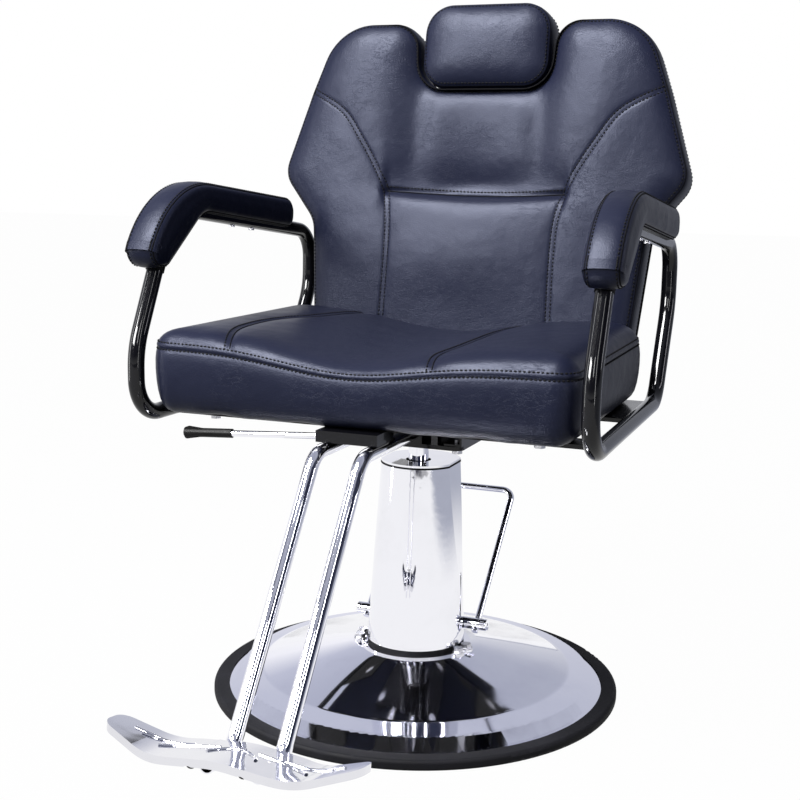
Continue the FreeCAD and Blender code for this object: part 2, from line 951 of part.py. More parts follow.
def lever_sleeve(side, label):
    start = s.sleeve_inner if side > 0 else -s.sleeve_outer
    level = (s.shaft_back, s.shaft_height, V(0, 1, 0), RIGHT_ANGLE)
    outer = new_cylinder(f"{label}_outer", s.sleeve_radius, s.sleeve_outer - s.sleeve_inner, start, *level)
    seat_start = s.sleeve_inner - s.overrun if side > 0 else -s.shaft_half - s.seat_gap
    seat = new_cylinder(
        f"{label}_seat", s.shaft_radius, s.shaft_half - s.sleeve_inner + s.overrun + s.seat_gap,
        seat_start, *level)
    grub_start = s.lever_half if side > 0 else -s.sleeve_outer - s.overrun
    grub = new_cylinder(
        f"{label}_grub_hole", s.grub_radius, s.sleeve_outer - s.lever_half + s.overrun, grub_start, *level)
    cross = new_cylinder(
        f"{label}_cross_hole", s.lever_bar_radius, s.sleeve_radius * 4, s.lever_half * side,
        s.shaft_back + s.sleeve_radius * 2 * cosine(s.lever_rise_angle),
        s.shaft_height + s.sleeve_radius * 2 * sine(s.lever_rise_angle),
        V(1, 0, 0), s.lever_rise_angle + RIGHT_ANGLE)
    keep(cut_away(label, outer, seat, grub, cross), label)


def lever_grub_screws():
    start = s.lever_half + s.lever_bar_radius
    length = s.sleeve_outer - s.grub_inset - start
    screws = []
    for x in (start, -start - length):
        screws.append(along_x(s.grub_radius, length, x, s.shaft_back, s.shaft_height))
    set_shape("lever_grub_screws", Part.makeCompound(screws))


# Swivel head

def swivel_socket():
    turned_body("swivel_socket", [
        (s.piston_radius + s.running_gap, socket_bottom), (s.socket_radius, socket_bottom),
        (s.socket_radius, head_plate_bottom), (0, head_plate_bottom), (0, piston_top + s.seat_gap),
        (s.piston_radius + s.running_gap, piston_top + s.seat_gap),
    ])


def head_plate():
    body = new_body("head_plate")
    half = s.plate_half
    sketch = new_sketch(body, "XY_Plane", head_plate_bottom)
    draw_outline(sketch, [
        (x * half, y * half, s.plate_rounding) for x, y in ((-1, -1), (1, -1), (1, 1), (-1, 1))
    ])
    add_pad(body, sketch, s.plate_thickness)
    drill(body, head_bolt_spots(), s.head_bolt_size / 2 + s.seat_gap)


def head_rail(side, label):
    """A channel between the head plate and the seat, its back to the outside."""
    body = new_body(label)
    outer = s.plate_half * side
    inner = (s.plate_half - s.rail_flange) * side
    web = (s.plate_half - s.rail_wall) * side
    low = head_plate_top
    high = seat_bottom
    sketch = new_sketch(body, "XZ_Plane", s.rail_front)
    corners = [
        (outer, low), (outer, high), (inner, high), (inner, high - s.rail_wall), (web, high - s.rail_wall),
        (web, low + s.rail_wall), (inner, low + s.rail_wall), (inner, low),
    ]
    draw_outline(sketch, corners)
    add_pad(body, sketch, s.rail_front + s.rail_rear, backwards=True)
    spots = [(x, y) for x, y in head_bolt_spots() if float(x) * side > 0]
    tool = new_sketch(body, "XY_Plane", low - s.overrun)
    for x, y in spots:
        draw_circle(tool, x, y, s.head_bolt_size / 2 + s.seat_gap)
    hole = body.newObject("PartDesign::Pocket", f"{label}_holes")
    hole.Profile = tool
    hole.Reversed = True
    bind(hole, "Length", s.overrun * 2 + s.rail_wall)


def head_bolts():
    length = s.plate_thickness + s.rail_wall + s.head_bolt_proud
    bolt_group("head_bolts", s.head_bolt_size, length, head_bolt_spots(), head_plate_bottom, heads_down=True)


def hinge_ear(side, label):
    body = new_body(label)
    start = s.plate_half if side > 0 else -s.plate_half - s.ear_thickness
    sketch = new_sketch(body, "YZ_Plane", start)
    reach = s.ear_radius
    near = s.hinge_y - reach
    far = s.hinge_y + reach
    rounding = reach - s.seat_gap
    draw_outline(sketch, [
        (s.ear_front, head_plate_top + s.rail_wall),
        (s.rail_rear - s.rail_wall, head_plate_top + s.rail_wall),
        (far, hinge_height - reach, rounding), (far, hinge_height + reach, rounding),
        (near, hinge_height + reach, rounding), (near - s.ear_step, seat_bottom - s.seat_gap),
        (s.ear_front, seat_bottom - s.seat_gap),
    ])
    add_pad(body, sketch, s.ear_thickness)
    bore = new_sketch(body, "YZ_Plane")
    draw_circle(bore, s.hinge_y, hinge_height, s.axle_radius + s.running_gap)
    cut_through(body, bore)


# Seat

def seat_corners():
    front = float(s.seat_front)
    rear = float(s.seat_rear)
    wide = float(s.seat_half_width)
    slim = float(s.seat_rear_half_width)
    near = float(s.seat_front_rounding)
    far = float(s.seat_rear_rounding)
    return [(-wide, -front, near), (wide, -front, near), (slim, rear, far), (-slim, rear, far)]


SEAT_LEVEL_SHARES = (
    (0.0, 0.28), (0.08, 0.12), (0.24, 0.04), (0.52, 0.0),
    (0.85, 0.0), (0.91, 0.12), (0.965, 0.42), (1.0, 1.0),
)


def levels_between(start, end, shares, draw_in):
    """Turn (height share, inset share) pairs into depths and insets."""
    return [(start + (end - start) * a, draw_in * b) for a, b in shares]


def seat_cushion():
    levels = levels_between(
        float(seat_bottom), float(seat_crest), SEAT_LEVEL_SHARES, float(s.seat_draw_in))
    shape = padded_form(seat_corners(), levels, lambda depth: lambda spot: V(spot.x, spot.y, depth))
    rise = float(seat_crest) - float(seat_dish_low)
    half = float(s.seat_dish_half)
    radius = (half * half + rise * rise) / (2 * rise)
    length = float(s.seat_front + s.seat_rear + s.overrun * 2)
    start = V(0, -float(s.seat_front + s.overrun), float(seat_dish_low) + radius)
    shape = shape.cut(Part.makeCylinder(radius, length, start, V(0, 1, 0)))
    board = seat_board_form(s.seat_gap)
    set_shape("seat_cushion", shape.cut(board))


def seat_board_form(gap):
    inset = float(s.seat_board_inset) - float(gap)
    edges = outline_edges(
        inset_outline(seat_corners(), inset), lambda spot: V(spot.x, spot.y, float(seat_bottom)))
    face = Part.Face(Part.Wire(edges))
    return face.extrude(UP * float(s.seat_board_thickness + gap))


def seat_board():
    body = new_body("seat_board")
    inset = s.seat_board_inset
    sketch = new_sketch(body, "XY_Plane", seat_bottom)
    front = -(s.seat_front - inset)
    rear = s.seat_rear - inset
    lean = (s.seat_half_width - s.seat_rear_half_width) / (s.seat_front + s.seat_rear)
    near = s.seat_half_width - inset - lean * inset
    far = s.seat_rear_half_width - inset + lean * inset
    draw_outline(sketch, [
        (-near, front, s.seat_front_rounding - inset), (near, front, s.seat_front_rounding - inset),
        (far, rear, s.seat_rear_rounding - inset), (-far, rear, s.seat_rear_rounding - inset),
    ])
    add_pad(body, sketch, s.seat_board_thickness)
    drill(body, frame_bolt_spots(), s.frame_bolt_size / 2 + s.seat_gap)


# Arm loops, each drawn in its own upright plane and then turned in by the toe angle

def arm_corners():
    """The loop's corners as (Y, Z, radius), with Y measured from the loop's own pivot line."""
    front = float(-s.arm_front_reach)
    low = float(arm_bottom)
    return [
        (float(s.arm_toe_y), low, float(s.arm_foot_rounding)),
        (front, low, float(s.arm_foot_rounding)),
        (front, float(arm_knee_height), float(s.arm_knee_rounding)),
        (float(s.arm_peak_y), float(arm_peak_height), float(s.arm_peak_rounding)),
        (float(s.arm_heel_y), float(arm_heel_height), float(s.arm_heel_rounding)),
        (float(s.arm_hip_y), float(arm_hip_height), float(s.arm_hip_rounding)),
    ]


def arm_placement(side):
    spot = V(float(s.arm_spread) * side, -float(s.arm_pivot_back), 0)
    return FreeCAD.Placement(spot, FreeCAD.Rotation(UP, float(s.arm_toe_angle) * side))


def arm_tube(radius):
    path = tube_path([(V(0, y, z), rounding) for y, z, rounding in arm_corners()], closed=True)
    return sweep_round(path, radius)


def pad_lines():
    """The front and top lines of the loop under the pad: each a point, a heading and a normal."""
    knee, peak, heel = [V(0, c[0], c[1]) for c in arm_corners()[2:5]]
    front = (peak - knee).normalize()
    top = (heel - peak).normalize()
    return peak, front, top, V(1, 0, 0).cross(front), V(1, 0, 0).cross(top)


def crossing(spot, heading, other, along):
    """Where two lines in a YZ plane meet."""
    gap = other - spot
    reach = (gap.y * along.z - gap.z * along.y) / (heading.y * along.z - heading.z * along.y)
    return spot + heading * reach


def pad_corners():
    """The pad's outline as (Y, Z, radius): its level nose in front, its tail at the rear."""
    peak, front, top, front_out, top_out = pad_lines()
    level = V(0, 1, 0)
    front_line = peak + front_out * float(s.pad_front_rise)
    top_line = peak + top_out * float(s.pad_top_rise)
    under_line = peak - top_out * float(s.pad_under)
    nose = crossing(front_line, front, V(0, 0, float(pad_nose_height)), level)
    tail = float(s.pad_tail_reach)
    end = float(s.pad_end_rounding)
    spots = [
        (nose, end), (nose + level * float(s.pad_nose_depth), float(s.pad_nose_rounding)),
        (under_line + top * float(s.pad_bend_reach), float(s.pad_bend_rounding)),
        (under_line + top * tail, end / 2), (peak + top * tail + top_out * float(s.pad_tail_rise), end),
        (crossing(front_line, front, top_line, top), float(s.pad_front_rounding)),
    ]
    return [(spot.y, spot.z, radius) for spot, radius in spots]


PAD_LEVEL_SHARES = (
    (-1.0, 1.0), (-0.87, 0.36), (-0.6, 0.04), (0.0, 0.0), (0.6, 0.04), (0.87, 0.36), (1.0, 1.0),
)


def pad_screw_spots():
    """Where the screws stand on the underside of the top tube."""
    peak, front, top, front_out, top_out = pad_lines()
    reaches = (float(s.pad_screw_first), float(s.pad_screw_first + s.pad_screw_pitch))
    return [(peak + top * reach - top_out * float(s.arm_tube_radius), top_out) for reach in reaches]


def pad_screw(spot, heading):
    """A pan-head screw that goes up through the tube into the pad."""
    head = Part.makeCylinder(
        float(s.pad_screw_radius), float(s.pad_screw_height + s.pad_screw_bite),
        spot - heading * float(s.pad_screw_height), heading)
    length = float(s.arm_tube_radius * 2 + s.pad_screw_grip)
    shank = Part.makeCylinder(float(s.pad_screw_shank), length, spot, heading)
    return head.fuse(shank).removeSplitter()


def pad_screw_group():
    return Part.makeCompound([pad_screw(spot, heading) for spot, heading in pad_screw_spots()])


def arm_side(side, name):
    placement = arm_placement(side)
    outer = arm_tube(float(s.arm_tube_radius))
    screws = pad_screw_group()
    tube = outer.cut(arm_tube(float(s.arm_tube_radius - s.arm_tube_wall)))
    tube = tube.cut(screws)
    set_shape(f"arm_loop_{name}", tube, placement)
    half = float(s.pad_half_width)
    middle = float(s.pad_outset) * side
    levels = [(middle + half * a, float(s.pad_draw_in) * b) for a, b in PAD_LEVEL_SHARES]
    pad = padded_form(pad_corners(), levels, lambda depth: lambda spot: V(depth, spot.x, spot.y))
    pad = pad.cut(arm_tube(float(s.arm_tube_radius + s.seat_gap))).cut(screws)
    set_shape(f"arm_pad_{name}", largest(pad), placement)


def arm_pad_screws():
    groups = []
    for side in (1, -1):
        group = pad_screw_group()
        group.Placement = arm_placement(side)
        groups.extend(group.Solids)
    set_shape("arm_pad_screws", Part.makeCompound(groups))


def largest(shape):
    """The biggest solid of a shape."""
    return max(shape.Solids, key=lambda solid: solid.Volume)


def frame_bar(label, inner, outer, front, rear):
    """A flat bar under the seat, let in to the arm tubes where it meets them."""
    low = float(frame_plate_bottom)
    shape = Part.makeBox(
        float(outer - inner), float(rear - front), float(s.plate_thickness),
        V(float(inner), float(front), low))
    for side in (1, -1):
        tube = arm_tube(float(s.arm_tube_radius))
        tube.Placement = arm_placement(side)
        shape = shape.cut(tube)
    for x, y in frame_bolt_spots():
        radius = float(s.frame_bolt_size / 2 + s.seat_gap)
        spot = V(float(x), float(y), low - float(s.overrun))
        shape = shape.cut(Part.makeCylinder(radius, float(s.plate_thickness + s.overrun * 2), spot))
    set_shape(label, largest(shape))


def seat_frame():
    front = -s.cross_bar_front
    frame_bar("cross_bar", -s.arm_spread, s.arm_spread, front, front + s.cross_bar_width)
    rear = s.arm_plate_width - s.arm_plate_front
    frame_bar("arm_plate_left", s.arm_plate_inner, s.arm_spread, -s.arm_plate_front, rear)
    frame_bar("arm_plate_right", -s.arm_spread, -s.arm_plate_inner, -s.arm_plate_front, rear)
    length = s.plate_thickness + s.seat_board_thickness - s.seat_gap
    spots = frame_bolt_spots()
    bolt_group("frame_bolts", s.frame_bolt_size, length, spots, frame_plate_bottom, heads_down=True)


# Footrest

def foot_path():
    return [
        (-s.foot_tube_rear, foot_tube_height), (-s.foot_knee_y, foot_tube_height, s.foot_knee_rounding),
        (-s.foot_ankle_y, s.foot_ankle_height, s.foot_ankle_rounding), (-s.foot_toe_y, s.foot_toe_height),
    ]


def foot_tube(side, label):
    body = new_body(label)
    across = s.foot_tube_spread * side
    path = new_sketch(body, "YZ_Plane", across)
    draw_outline(path, foot_path(), closed=False)
    section = new_sketch(body, "XZ_Plane", s.foot_tube_rear)
    draw_circle(section, across, foot_tube_height, s.foot_tube_radius)
    draw_circle(section, across, foot_tube_height, s.foot_tube_radius - s.foot_tube_wall)
    pipe = body.newObject("PartDesign::AdditivePipe", f"{label}_pipe")
    pipe.Profile = section
    pipe.Spine = (path, [])


def on_tread(shape):
    """Tilt a shape drawn about the tread's own middle and put it in place."""
    shape.rotate(V(0, 0, 0), V(1, 0, 0), -float(s.tread_tilt_angle))
    shape.translate(V(0, -float(s.tread_middle_y), float(s.tread_height)))
    return shape


def buffer_forms():
    """Round-nosed rubber buffers under the front of the tread, one ahead of each tube."""
    radius = float(s.buffer_radius)
    drop = float(s.buffer_drop)
    stem = drop - radius - float(s.tread_wall - s.buffer_bite)
    reach = float(s.buffer_y - s.tread_middle_y)
    forms = []
    for side in (1, -1):
        nose = V(float(s.foot_tube_spread) * side, -reach, -drop + radius)
        form = Part.makeCylinder(radius, stem, nose).fuse(Part.makeSphere(radius, nose)).removeSplitter()
        forms.append(on_tread(form))
    return forms


def tread_buffers():
    set_shape("tread_buffers", Part.makeCompound(buffer_forms()))


def tread_band(thickness):
    """The wavy section of the tread, carried through its depth."""
    half = float(s.tread_half + s.overrun)
    dip_x = float(s.tread_dip_x)
    wave = [
        (-half, float(s.tread_tip), float(s.tread_edge_rounding)),
        (-dip_x, -float(s.tread_dip), float(s.tread_dip_rounding)),
        (0, float(s.tread_crest), float(s.tread_crest_rounding)),
        (dip_x, -float(s.tread_dip), float(s.tread_dip_rounding)),
        (half, float(s.tread_tip), float(s.tread_edge_rounding)),
    ]
    below = [(x, z - thickness, radius) for x, z, radius in reversed(wave)]
    depth = float(s.tread_depth + s.overrun * 2)
    edges = outline_edges(wave + below, lambda spot: V(spot.x, -depth / 2, spot.y))
    return Part.Face(Part.Wire(edges)).extrude(V(0, depth, 0))


def tread_prism(inset):
    """The tread's outline seen from above, as a tall block: deep at the tubes, slim at the tips."""
    half = float(s.tread_half)
    tip = float(s.tread_tip_depth) / 2
    shoulder = float(s.tread_shoulder)
    deep = float(s.tread_depth) / 2
    end = float(s.tread_tip_rounding)
    bow = float(s.tread_shoulder_rounding)
    tall = float(s.tread_tip + s.tread_dip + s.tread_rim) * 2
    front = [(-half, -tip, end), (-shoulder, -deep, bow), (shoulder, -deep, bow), (half, -tip, end)]
    corners = front + [(-x, -y, rounding) for x, y, rounding in front]
    edges = outline_edges(inset_outline(corners, inset), lambda spot: V(spot.x, spot.y, -tall / 2))
    return Part.Face(Part.Wire(edges)).extrude(UP * tall)


def foot_tread():
    web = tread_band(float(s.tread_wall)).common(tread_prism(0))
    ring = tread_prism(0).cut(tread_prism(float(s.tread_rim_width)))
    rim = tread_band(float(s.tread_rim)).common(ring)
    shape = web.fuse(rim)
    half = float(s.tread_boss_half)
    tall = float(s.tread_boss_drop - s.tread_wall + s.buffer_bite)
    for side in (1, -1):
        start = V(float(s.foot_tube_spread) * side - half, 0, -float(s.tread_boss_drop))
        shape = shape.fuse(Part.makeBox(half * 2, float(s.tread_boss_length), tall, start))
    shape = on_tread(shape.removeSplitter())
    for side in (1, -1):
        across = float(s.foot_tube_spread) * side
        corners = [
            (V(across, float(c[0]), float(c[1])), float(c[2]) if len(c) == 3 else 0) for c in foot_path()
        ]
        corners[-1] = (corners[-1][0] + (corners[-1][0] - corners[-2][0]), 0)
        shape = shape.cut(sweep_round(tube_path(corners), float(s.foot_tube_radius)))
    for form in buffer_forms():
        shape = shape.cut(form)
    set_shape("foot_tread", largest(shape))


def foot_bracket():
    """The pressed box on top of the tubes at the front of the seat, with a slot for the lever."""
    half = float(s.bracket_half)
    wall = float(s.bracket_wall)
    low = float(foot_tube_height + s.foot_tube_radius + s.seat_gap)
    tall = float(seat_bottom) - low
    start = V(-half, -float(s.bracket_front), low)
    shape = Part.makeBox(half * 2, float(s.bracket_depth), tall, start)
    hollow = Part.makeBox(
        half * 2 - wall * 2, float(s.bracket_depth) - wall * 2, tall - wall, start + V(wall, wall, 0))
    rod = float(s.grip_rod_radius + s.grip_slot_gap)
    slot = Part.makeBox(
        wall + float(s.overrun), rod * 2, tall - wall,
        V(-half - float(s.overrun) / 2, -float(s.grip_lever_y) - rod, low))
    set_shape("foot_bracket", shape.cut(hollow).cut(slot))


def tube_saddle():
    """The block that carries the two tubes on the head plate."""
    wide = float(s.bracket_half)
    low = float(head_plate_top)
    tall = float(foot_tube_height) - low
    depth = float(s.saddle_depth)
    start = V(-wide, -float(s.plate_half), low)
    shape = Part.makeBox(wide * 2, depth, tall, start)
    for side in (1, -1):
        tube = Part.makeCylinder(
            float(s.foot_tube_radius), depth + float(s.overrun) * 2,
            V(float(s.foot_tube_spread) * side, -float(s.plate_half + s.overrun), float(foot_tube_height)),
            V(0, 1, 0))
        shape = shape.cut(tube)
    set_shape("tube_saddle", shape)


# Recline lever

def lever_placement():
    spot = V(-float(s.grip_lever_root), -float(s.grip_lever_y), float(grip_lever_height))
    return FreeCAD.Placement(spot, FreeCAD.Rotation(V(0, 1, 0), -float(s.grip_lever_droop_angle)))


def recline_lever():
    radius = float(s.grip_rod_radius)
    length = float(s.grip_rod_length)
    rod = Part.makeCylinder(radius, length + radius, V(radius, 0, 0), V(-1, 0, 0))
    pin = Part.makeCylinder(
        float(s.lever_pin_radius + s.running_gap), radius * 4, V(0, -radius * 2, 0), V(0, 1, 0))
    set_shape("recline_rod", rod.cut(pin), lever_placement())
    start = float(s.grip_start)
    grip_length = float(s.grip_length)
    handle = Part.makeCylinder(float(s.grip_radius), grip_length, V(-start, 0, 0), V(-1, 0, 0))
    blade_length = float(s.grip_blade_length)
    tall = float(s.grip_blade_height)
    thick = float(s.grip_blade_thickness)
    corners = [
        (-start - grip_length, -tall / 2, thick / 2),
        (-start - grip_length + blade_length, -thick / 2, thick),
        (-start - grip_length + blade_length, thick / 2, thick), (-start - grip_length, tall / 2, thick / 2),
    ]
    edges = outline_edges(corners, lambda spot: V(spot.x, -thick / 2, spot.y))
    blade = Part.Face(Part.Wire(edges)).extrude(V(0, thick, 0))
    bore = Part.makeCylinder(radius, length, V(0, 0, 0), V(-1, 0, 0))
    set_shape("recline_grip", handle.fuse(blade).cut(bore).removeSplitter(), lever_placement())


def lever_pin():
    """The pin that the recline lever turns on, standing in the bracket's front wall."""
    front = -s.bracket_front + s.bracket_wall
    length = s.bracket_front - s.bracket_wall - s.grip_lever_y + s.grip_rod_radius + s.pin_proud
    keep(new_cylinder(
        "recline_lever_pin", s.lever_pin_radius, length, -s.grip_lever_root, front + length,
        grip_lever_height, V(1, 0, 0), RIGHT_ANGLE), "recline_lever_pin")


# Recline lock under the seat

def lock_pin_spot():
    angle = s.lock_pin_start
    return s.hinge_y + s.lock_pin_reach * sine(angle), hinge_height - s.lock_pin_reach * cosine(angle)


def lock_cylinder():
    level = (s.lock_x, s.lock_rear, lock_height, V(1, 0, 0), RIGHT_ANGLE)
    outer = new_cylinder("lock_outer", s.lock_radius, s.lock_rear + s.lock_front, *level)
    bore = new_cylinder(
        "lock_bore", s.lock_rod_radius + s.running_gap, s.lock_bore_depth + s.overrun,
        s.lock_x, s.lock_rear + s.overrun, lock_height, V(1, 0, 0), RIGHT_ANGLE)
    keep(cut_away("lock_cylinder", outer, bore), "lock_cylinder")


def lock_anchor():
    wide = s.lock_radius * 2
    keep(new_box(
        "lock_anchor", wide, s.lock_anchor_depth, lock_height + s.lock_radius - head_plate_top,
        s.lock_x - s.lock_radius, -s.lock_front - s.lock_anchor_depth, head_plate_top), "lock_anchor")


def lock_rod():
    pin_y = lock_pin_spot()[0]
    eye = s.lock_pin_radius + s.lock_eye_clearance + s.lock_eye_wall
    start = s.lock_rear - s.lock_rod_inside
    rod = new_cylinder(
        "lock_rod_bar", s.lock_rod_radius, pin_y - start, s.lock_x, pin_y, lock_height,
        V(1, 0, 0), RIGHT_ANGLE)
    half = s.lock_eye_width / 2
    ring = new_cylinder(
        "lock_rod_ring", eye, s.lock_eye_width, s.lock_x - half, pin_y, lock_height,
        V(0, 1, 0), RIGHT_ANGLE)
    hole = new_cylinder(
        "lock_rod_hole", s.lock_pin_radius + s.lock_eye_clearance, s.lock_eye_width + s.overrun * 2,
        s.lock_x - half - s.overrun, pin_y, lock_height, V(0, 1, 0), RIGHT_ANGLE)
    keep(cut_away("lock_rod", join("lock_rod_joined", rod, ring), hole), "lock_rod")


def lock_fork():
    """Two cheeks on the back's axle, which hold the pin that the lock rod acts on."""
    pin_y, pin_z = [float(size) for size in lock_pin_spot()]
    hinge = V(0, float(s.hinge_y), float(hinge_height))
    pin = V(0, pin_y, pin_z)
    down = (pin - hinge).normalize()
    axle = float(s.axle_radius)
    boss = axle + float(s.lock_fork_wall)
    tip = float(s.lock_pin_radius + s.lock_fork_wall)
    wall = float(s.lock_fork_wall)
    inside = float(s.lock_eye_width / 2 + s.lock_fork_gap)
    cheeks = []
    for start in (inside, -inside - wall):
        x = float(s.lock_x) + start
        side = down.cross(V(1, 0, 0)) * tip
        top = V(x, hinge.y, hinge.z)
        low = V(x, pin.y, pin.z)
        link = Part.Face(Part.makePolygon([top + side, low + side, low - side, top - side, top + side]))
        cheek = link.extrude(V(wall, 0, 0))
        cheek = cheek.fuse([along_x(boss, wall, x, hinge.y, hinge.z), along_x(tip, wall, x, pin.y, pin.z)])
        cheek = cheek.cut(along_x(axle, wall, x, hinge.y, hinge.z))
        cheeks.append(cheek.cut(along_x(s.lock_pin_radius, wall, x, pin.y, pin.z)).removeSplitter())
    set_shape("lock_fork", Part.makeCompound(cheeks))
    width = inside + wall
    set_shape("lock_pin", along_x(s.lock_pin_radius, width * 2, float(s.lock_x) - width, pin.y, pin.z))


# Back, drawn in its own frame on the hinge axis: X across, Y to the rear, Z up the back

def on_back(obj):
    return place(obj, 0, s.hinge_y, hinge_height, V(1, 0, 0), -s.back_lean_angle)


def back_placement():
    spot = V(0, float(s.hinge_y), float(hinge_height))
    return FreeCAD.Placement(spot, FreeCAD.Rotation(V(1, 0, 0), -float(s.back_lean_angle)))


def back_corners():
    right = [
        (s.back_bottom_half, s.back_bottom, s.back_bottom_rounding),
        (s.back_waist_half, s.back_waist_height, s.back_waist_rounding),
        (s.back_wing_half, s.back_wing_height, s.back_wing_rounding),
        (s.back_shoulder_half, s.back_shoulder_height, s.back_shoulder_rounding),
        (s.back_lobe_half, s.back_top, s.back_lobe_rounding),
        (s.notch_top_half, s.back_top, s.notch_top_rounding),
        (s.notch_half, s.notch_height, s.notch_rounding),
    ]
    right = [tuple(float(size) for size in corner) for corner in right]
    return right + [(-x, z, radius) for x, z, radius in reversed(right)]


BACK_LEVEL_SHARES = (
    (0.0, 1.0), (0.04, 0.5), (0.1, 0.16), (0.18, 0.0), (0.45, -0.03), (0.75, 0.03), (1.0, 0.14),
)


# The side seams bend above the cross seam and draw together towards the seat
SEAM_RISE_SHARE = 0.3
SEAM_BEND_SHARE = 0.5
SEAM_FOOT_SHARE = 0.92


def seam_groove(spots, radius):
    """A shallow channel along a sewn line, its centre just off the face."""
    return sweep_round(tube_path(spots), radius)


def back_cushion():
    front = -float(s.back_face + s.back_crown)
    rear = -float(s.back_face) + float(s.back_core_depth)
    levels = levels_between(front, rear, BACK_LEVEL_SHARES, float(s.back_draw_in))
    shape = padded_form(back_corners(), levels, lambda depth: lambda spot: V(spot.x, depth, spot.y))
    sag = float(s.back_dish_depth)
    half = float(s.back_dish_half)
    radius = (half * half + sag * sag) / (2 * sag)
    floor = front + sag
    tall = float(s.back_top + s.overrun * 2)
    shape = shape.cut(Part.makeCylinder(radius, tall, V(0, floor - radius, -float(s.overrun))))
    lift = float(s.seam_width - s.seam_depth)
    cross = float(s.seam_cross_half)
    level = float(s.seam_cross_height)
    face = floor - lift
    across = seam_groove([(V(-cross, face, level), 0), (V(cross, face, level), 0)], float(s.seam_width))
    shape = shape.cut(across)
    for side in (1, -1):
        line = [
            (V(side * float(s.back_shoulder_half), front - lift, float(s.back_shoulder_height)), 0),
            (V(side * cross, front - lift, level + cross * SEAM_RISE_SHARE), cross * SEAM_BEND_SHARE),
            (V(side * cross * SEAM_FOOT_SHARE, front - lift, float(s.back_bottom)), 0),
        ]
        shape = shape.cut(seam_groove(line, float(s.seam_width)))
        shape = shape.cut(bush_form(side, float(s.bush_radius + s.seat_gap), float(s.overrun)))
        shape = shape.cut(bush_rim_form(side, float(s.seat_gap)))
    set_shape("back_cushion", largest(shape), back_placement())


def back_panel(label, inset, start, thickness):
    edges = outline_edges(
        inset_outline(back_corners(), float(inset)), lambda spot: V(spot.x, float(start), spot.y))
    face = Part.Face(Part.Wire(edges))
    set_shape(label, face.extrude(V(0, float(thickness), 0)), back_placement())


def back_panels():
    start = -s.back_face + s.back_core_depth + s.seat_gap
    back_panel("back_board", s.back_board_inset, start, s.back_board_thickness)
    start = start + s.back_board_thickness + s.seat_gap
    back_panel("back_cover", s.back_cover_inset, start, s.back_cover_thickness)


def back_rear():
    """How far behind the hinge axis the rear face of the back stands."""
    return s.back_core_depth - s.back_face + s.seat_gap * 2 + s.back_board_thickness + s.back_cover_thickness


def back_arm(side, label):
    body = new_body(label)
    start = s.axle_half - s.back_arm_thickness if side > 0 else -s.axle_half
    sketch = new_sketch(body, "YZ_Plane", start)
    reach = s.ear_radius
    rear = back_rear()
    far = rear + s.back_arm_width
    draw_outline(sketch, [
        (-reach, -reach, reach - s.seat_gap), (far, -reach, s.back_arm_width - s.seat_gap),
        (far, s.back_arm_height, reach), (rear, s.back_arm_height),
        (rear, reach), (-reach, reach, reach - s.seat_gap),
    ])
    add_pad(body, sketch, s.back_arm_thickness)
    flange = new_sketch(body, "XZ_Plane", -rear)
    outer = (s.axle_half + s.back_flange_width) * side
    inner = (s.axle_half - s.back_arm_thickness) * side
    low = s.back_arm_height - s.back_flange_height
    draw_outline(flange, [(inner, low), (outer, low), (outer, s.back_arm_height), (inner, s.back_arm_height)])
    add_pad(body, flange, s.rail_wall, backwards=True)
    bore = new_sketch(body, "YZ_Plane")
    draw_circle(bore, 0, 0, s.axle_radius)
    cut_through(body, bore)
    on_back(body)


def back_axle():
    keep(new_cylinder(
        "back_axle", s.axle_radius, s.axle_half * 2, -s.axle_half, s.hinge_y, hinge_height,
        V(0, 1, 0), RIGHT_ANGLE), "back_axle")


def back_arm_screws():
    screws = []
    y = float(back_rear() + s.rail_wall)
    for side in (1, -1):
        x = float(s.axle_half + s.back_flange_width / 2) * side
        for down in (s.back_screw_edge, s.back_flange_height - s.back_screw_edge):
            spot = V(x, y, float(s.back_arm_height - down))
            screws.append(Part.makeCylinder(
                float(s.back_screw_radius), float(s.back_screw_height), spot, V(0, 1, 0)))
    set_shape("back_arm_screws", Part.makeCompound(screws), back_placement())


# Headrest

def bush_form(side, radius, extra):
    bottom = float(s.notch_height - s.bush_length) - extra
    spot = V(float(s.post_spread) * side, float(s.post_depth), bottom)
    return Part.makeCylinder(radius, float(s.bush_length) + extra * 2, spot)


def bush_rim_form(side, gap):
    spot = V(float(s.post_spread) * side, float(s.post_depth), float(s.notch_height) - gap)
    return Part.makeCylinder(float(s.bush_radius + s.bush_rim) + gap, float(s.bush_rim) + gap * 2, spot)


def headrest_bush(side, label):
    shape = bush_form(side, float(s.bush_radius), 0).fuse(bush_rim_form(side, 0))
    bore = bush_form(side, float(s.post_radius + s.running_gap), float(s.overrun))
    set_shape(label, shape.cut(bore).removeSplitter(), back_placement())


def post_form(side):
    bottom = s.rest_bottom + s.post_inside - s.post_length
    spot = V(float(s.post_spread) * side, float(s.post_depth), float(bottom))
    return Part.makeCylinder(float(s.post_radius), float(s.post_length), spot)


def headrest_post(side, label):
    set_shape(label, post_form(side), back_placement())


REST_LEVEL_SHARES = (
    (0.0, 1.0), (0.06, 0.52), (0.19, 0.17), (0.4, 0.0), (0.7, 0.0), (0.87, 0.15), (0.96, 0.45), (1.0, 0.8),
)


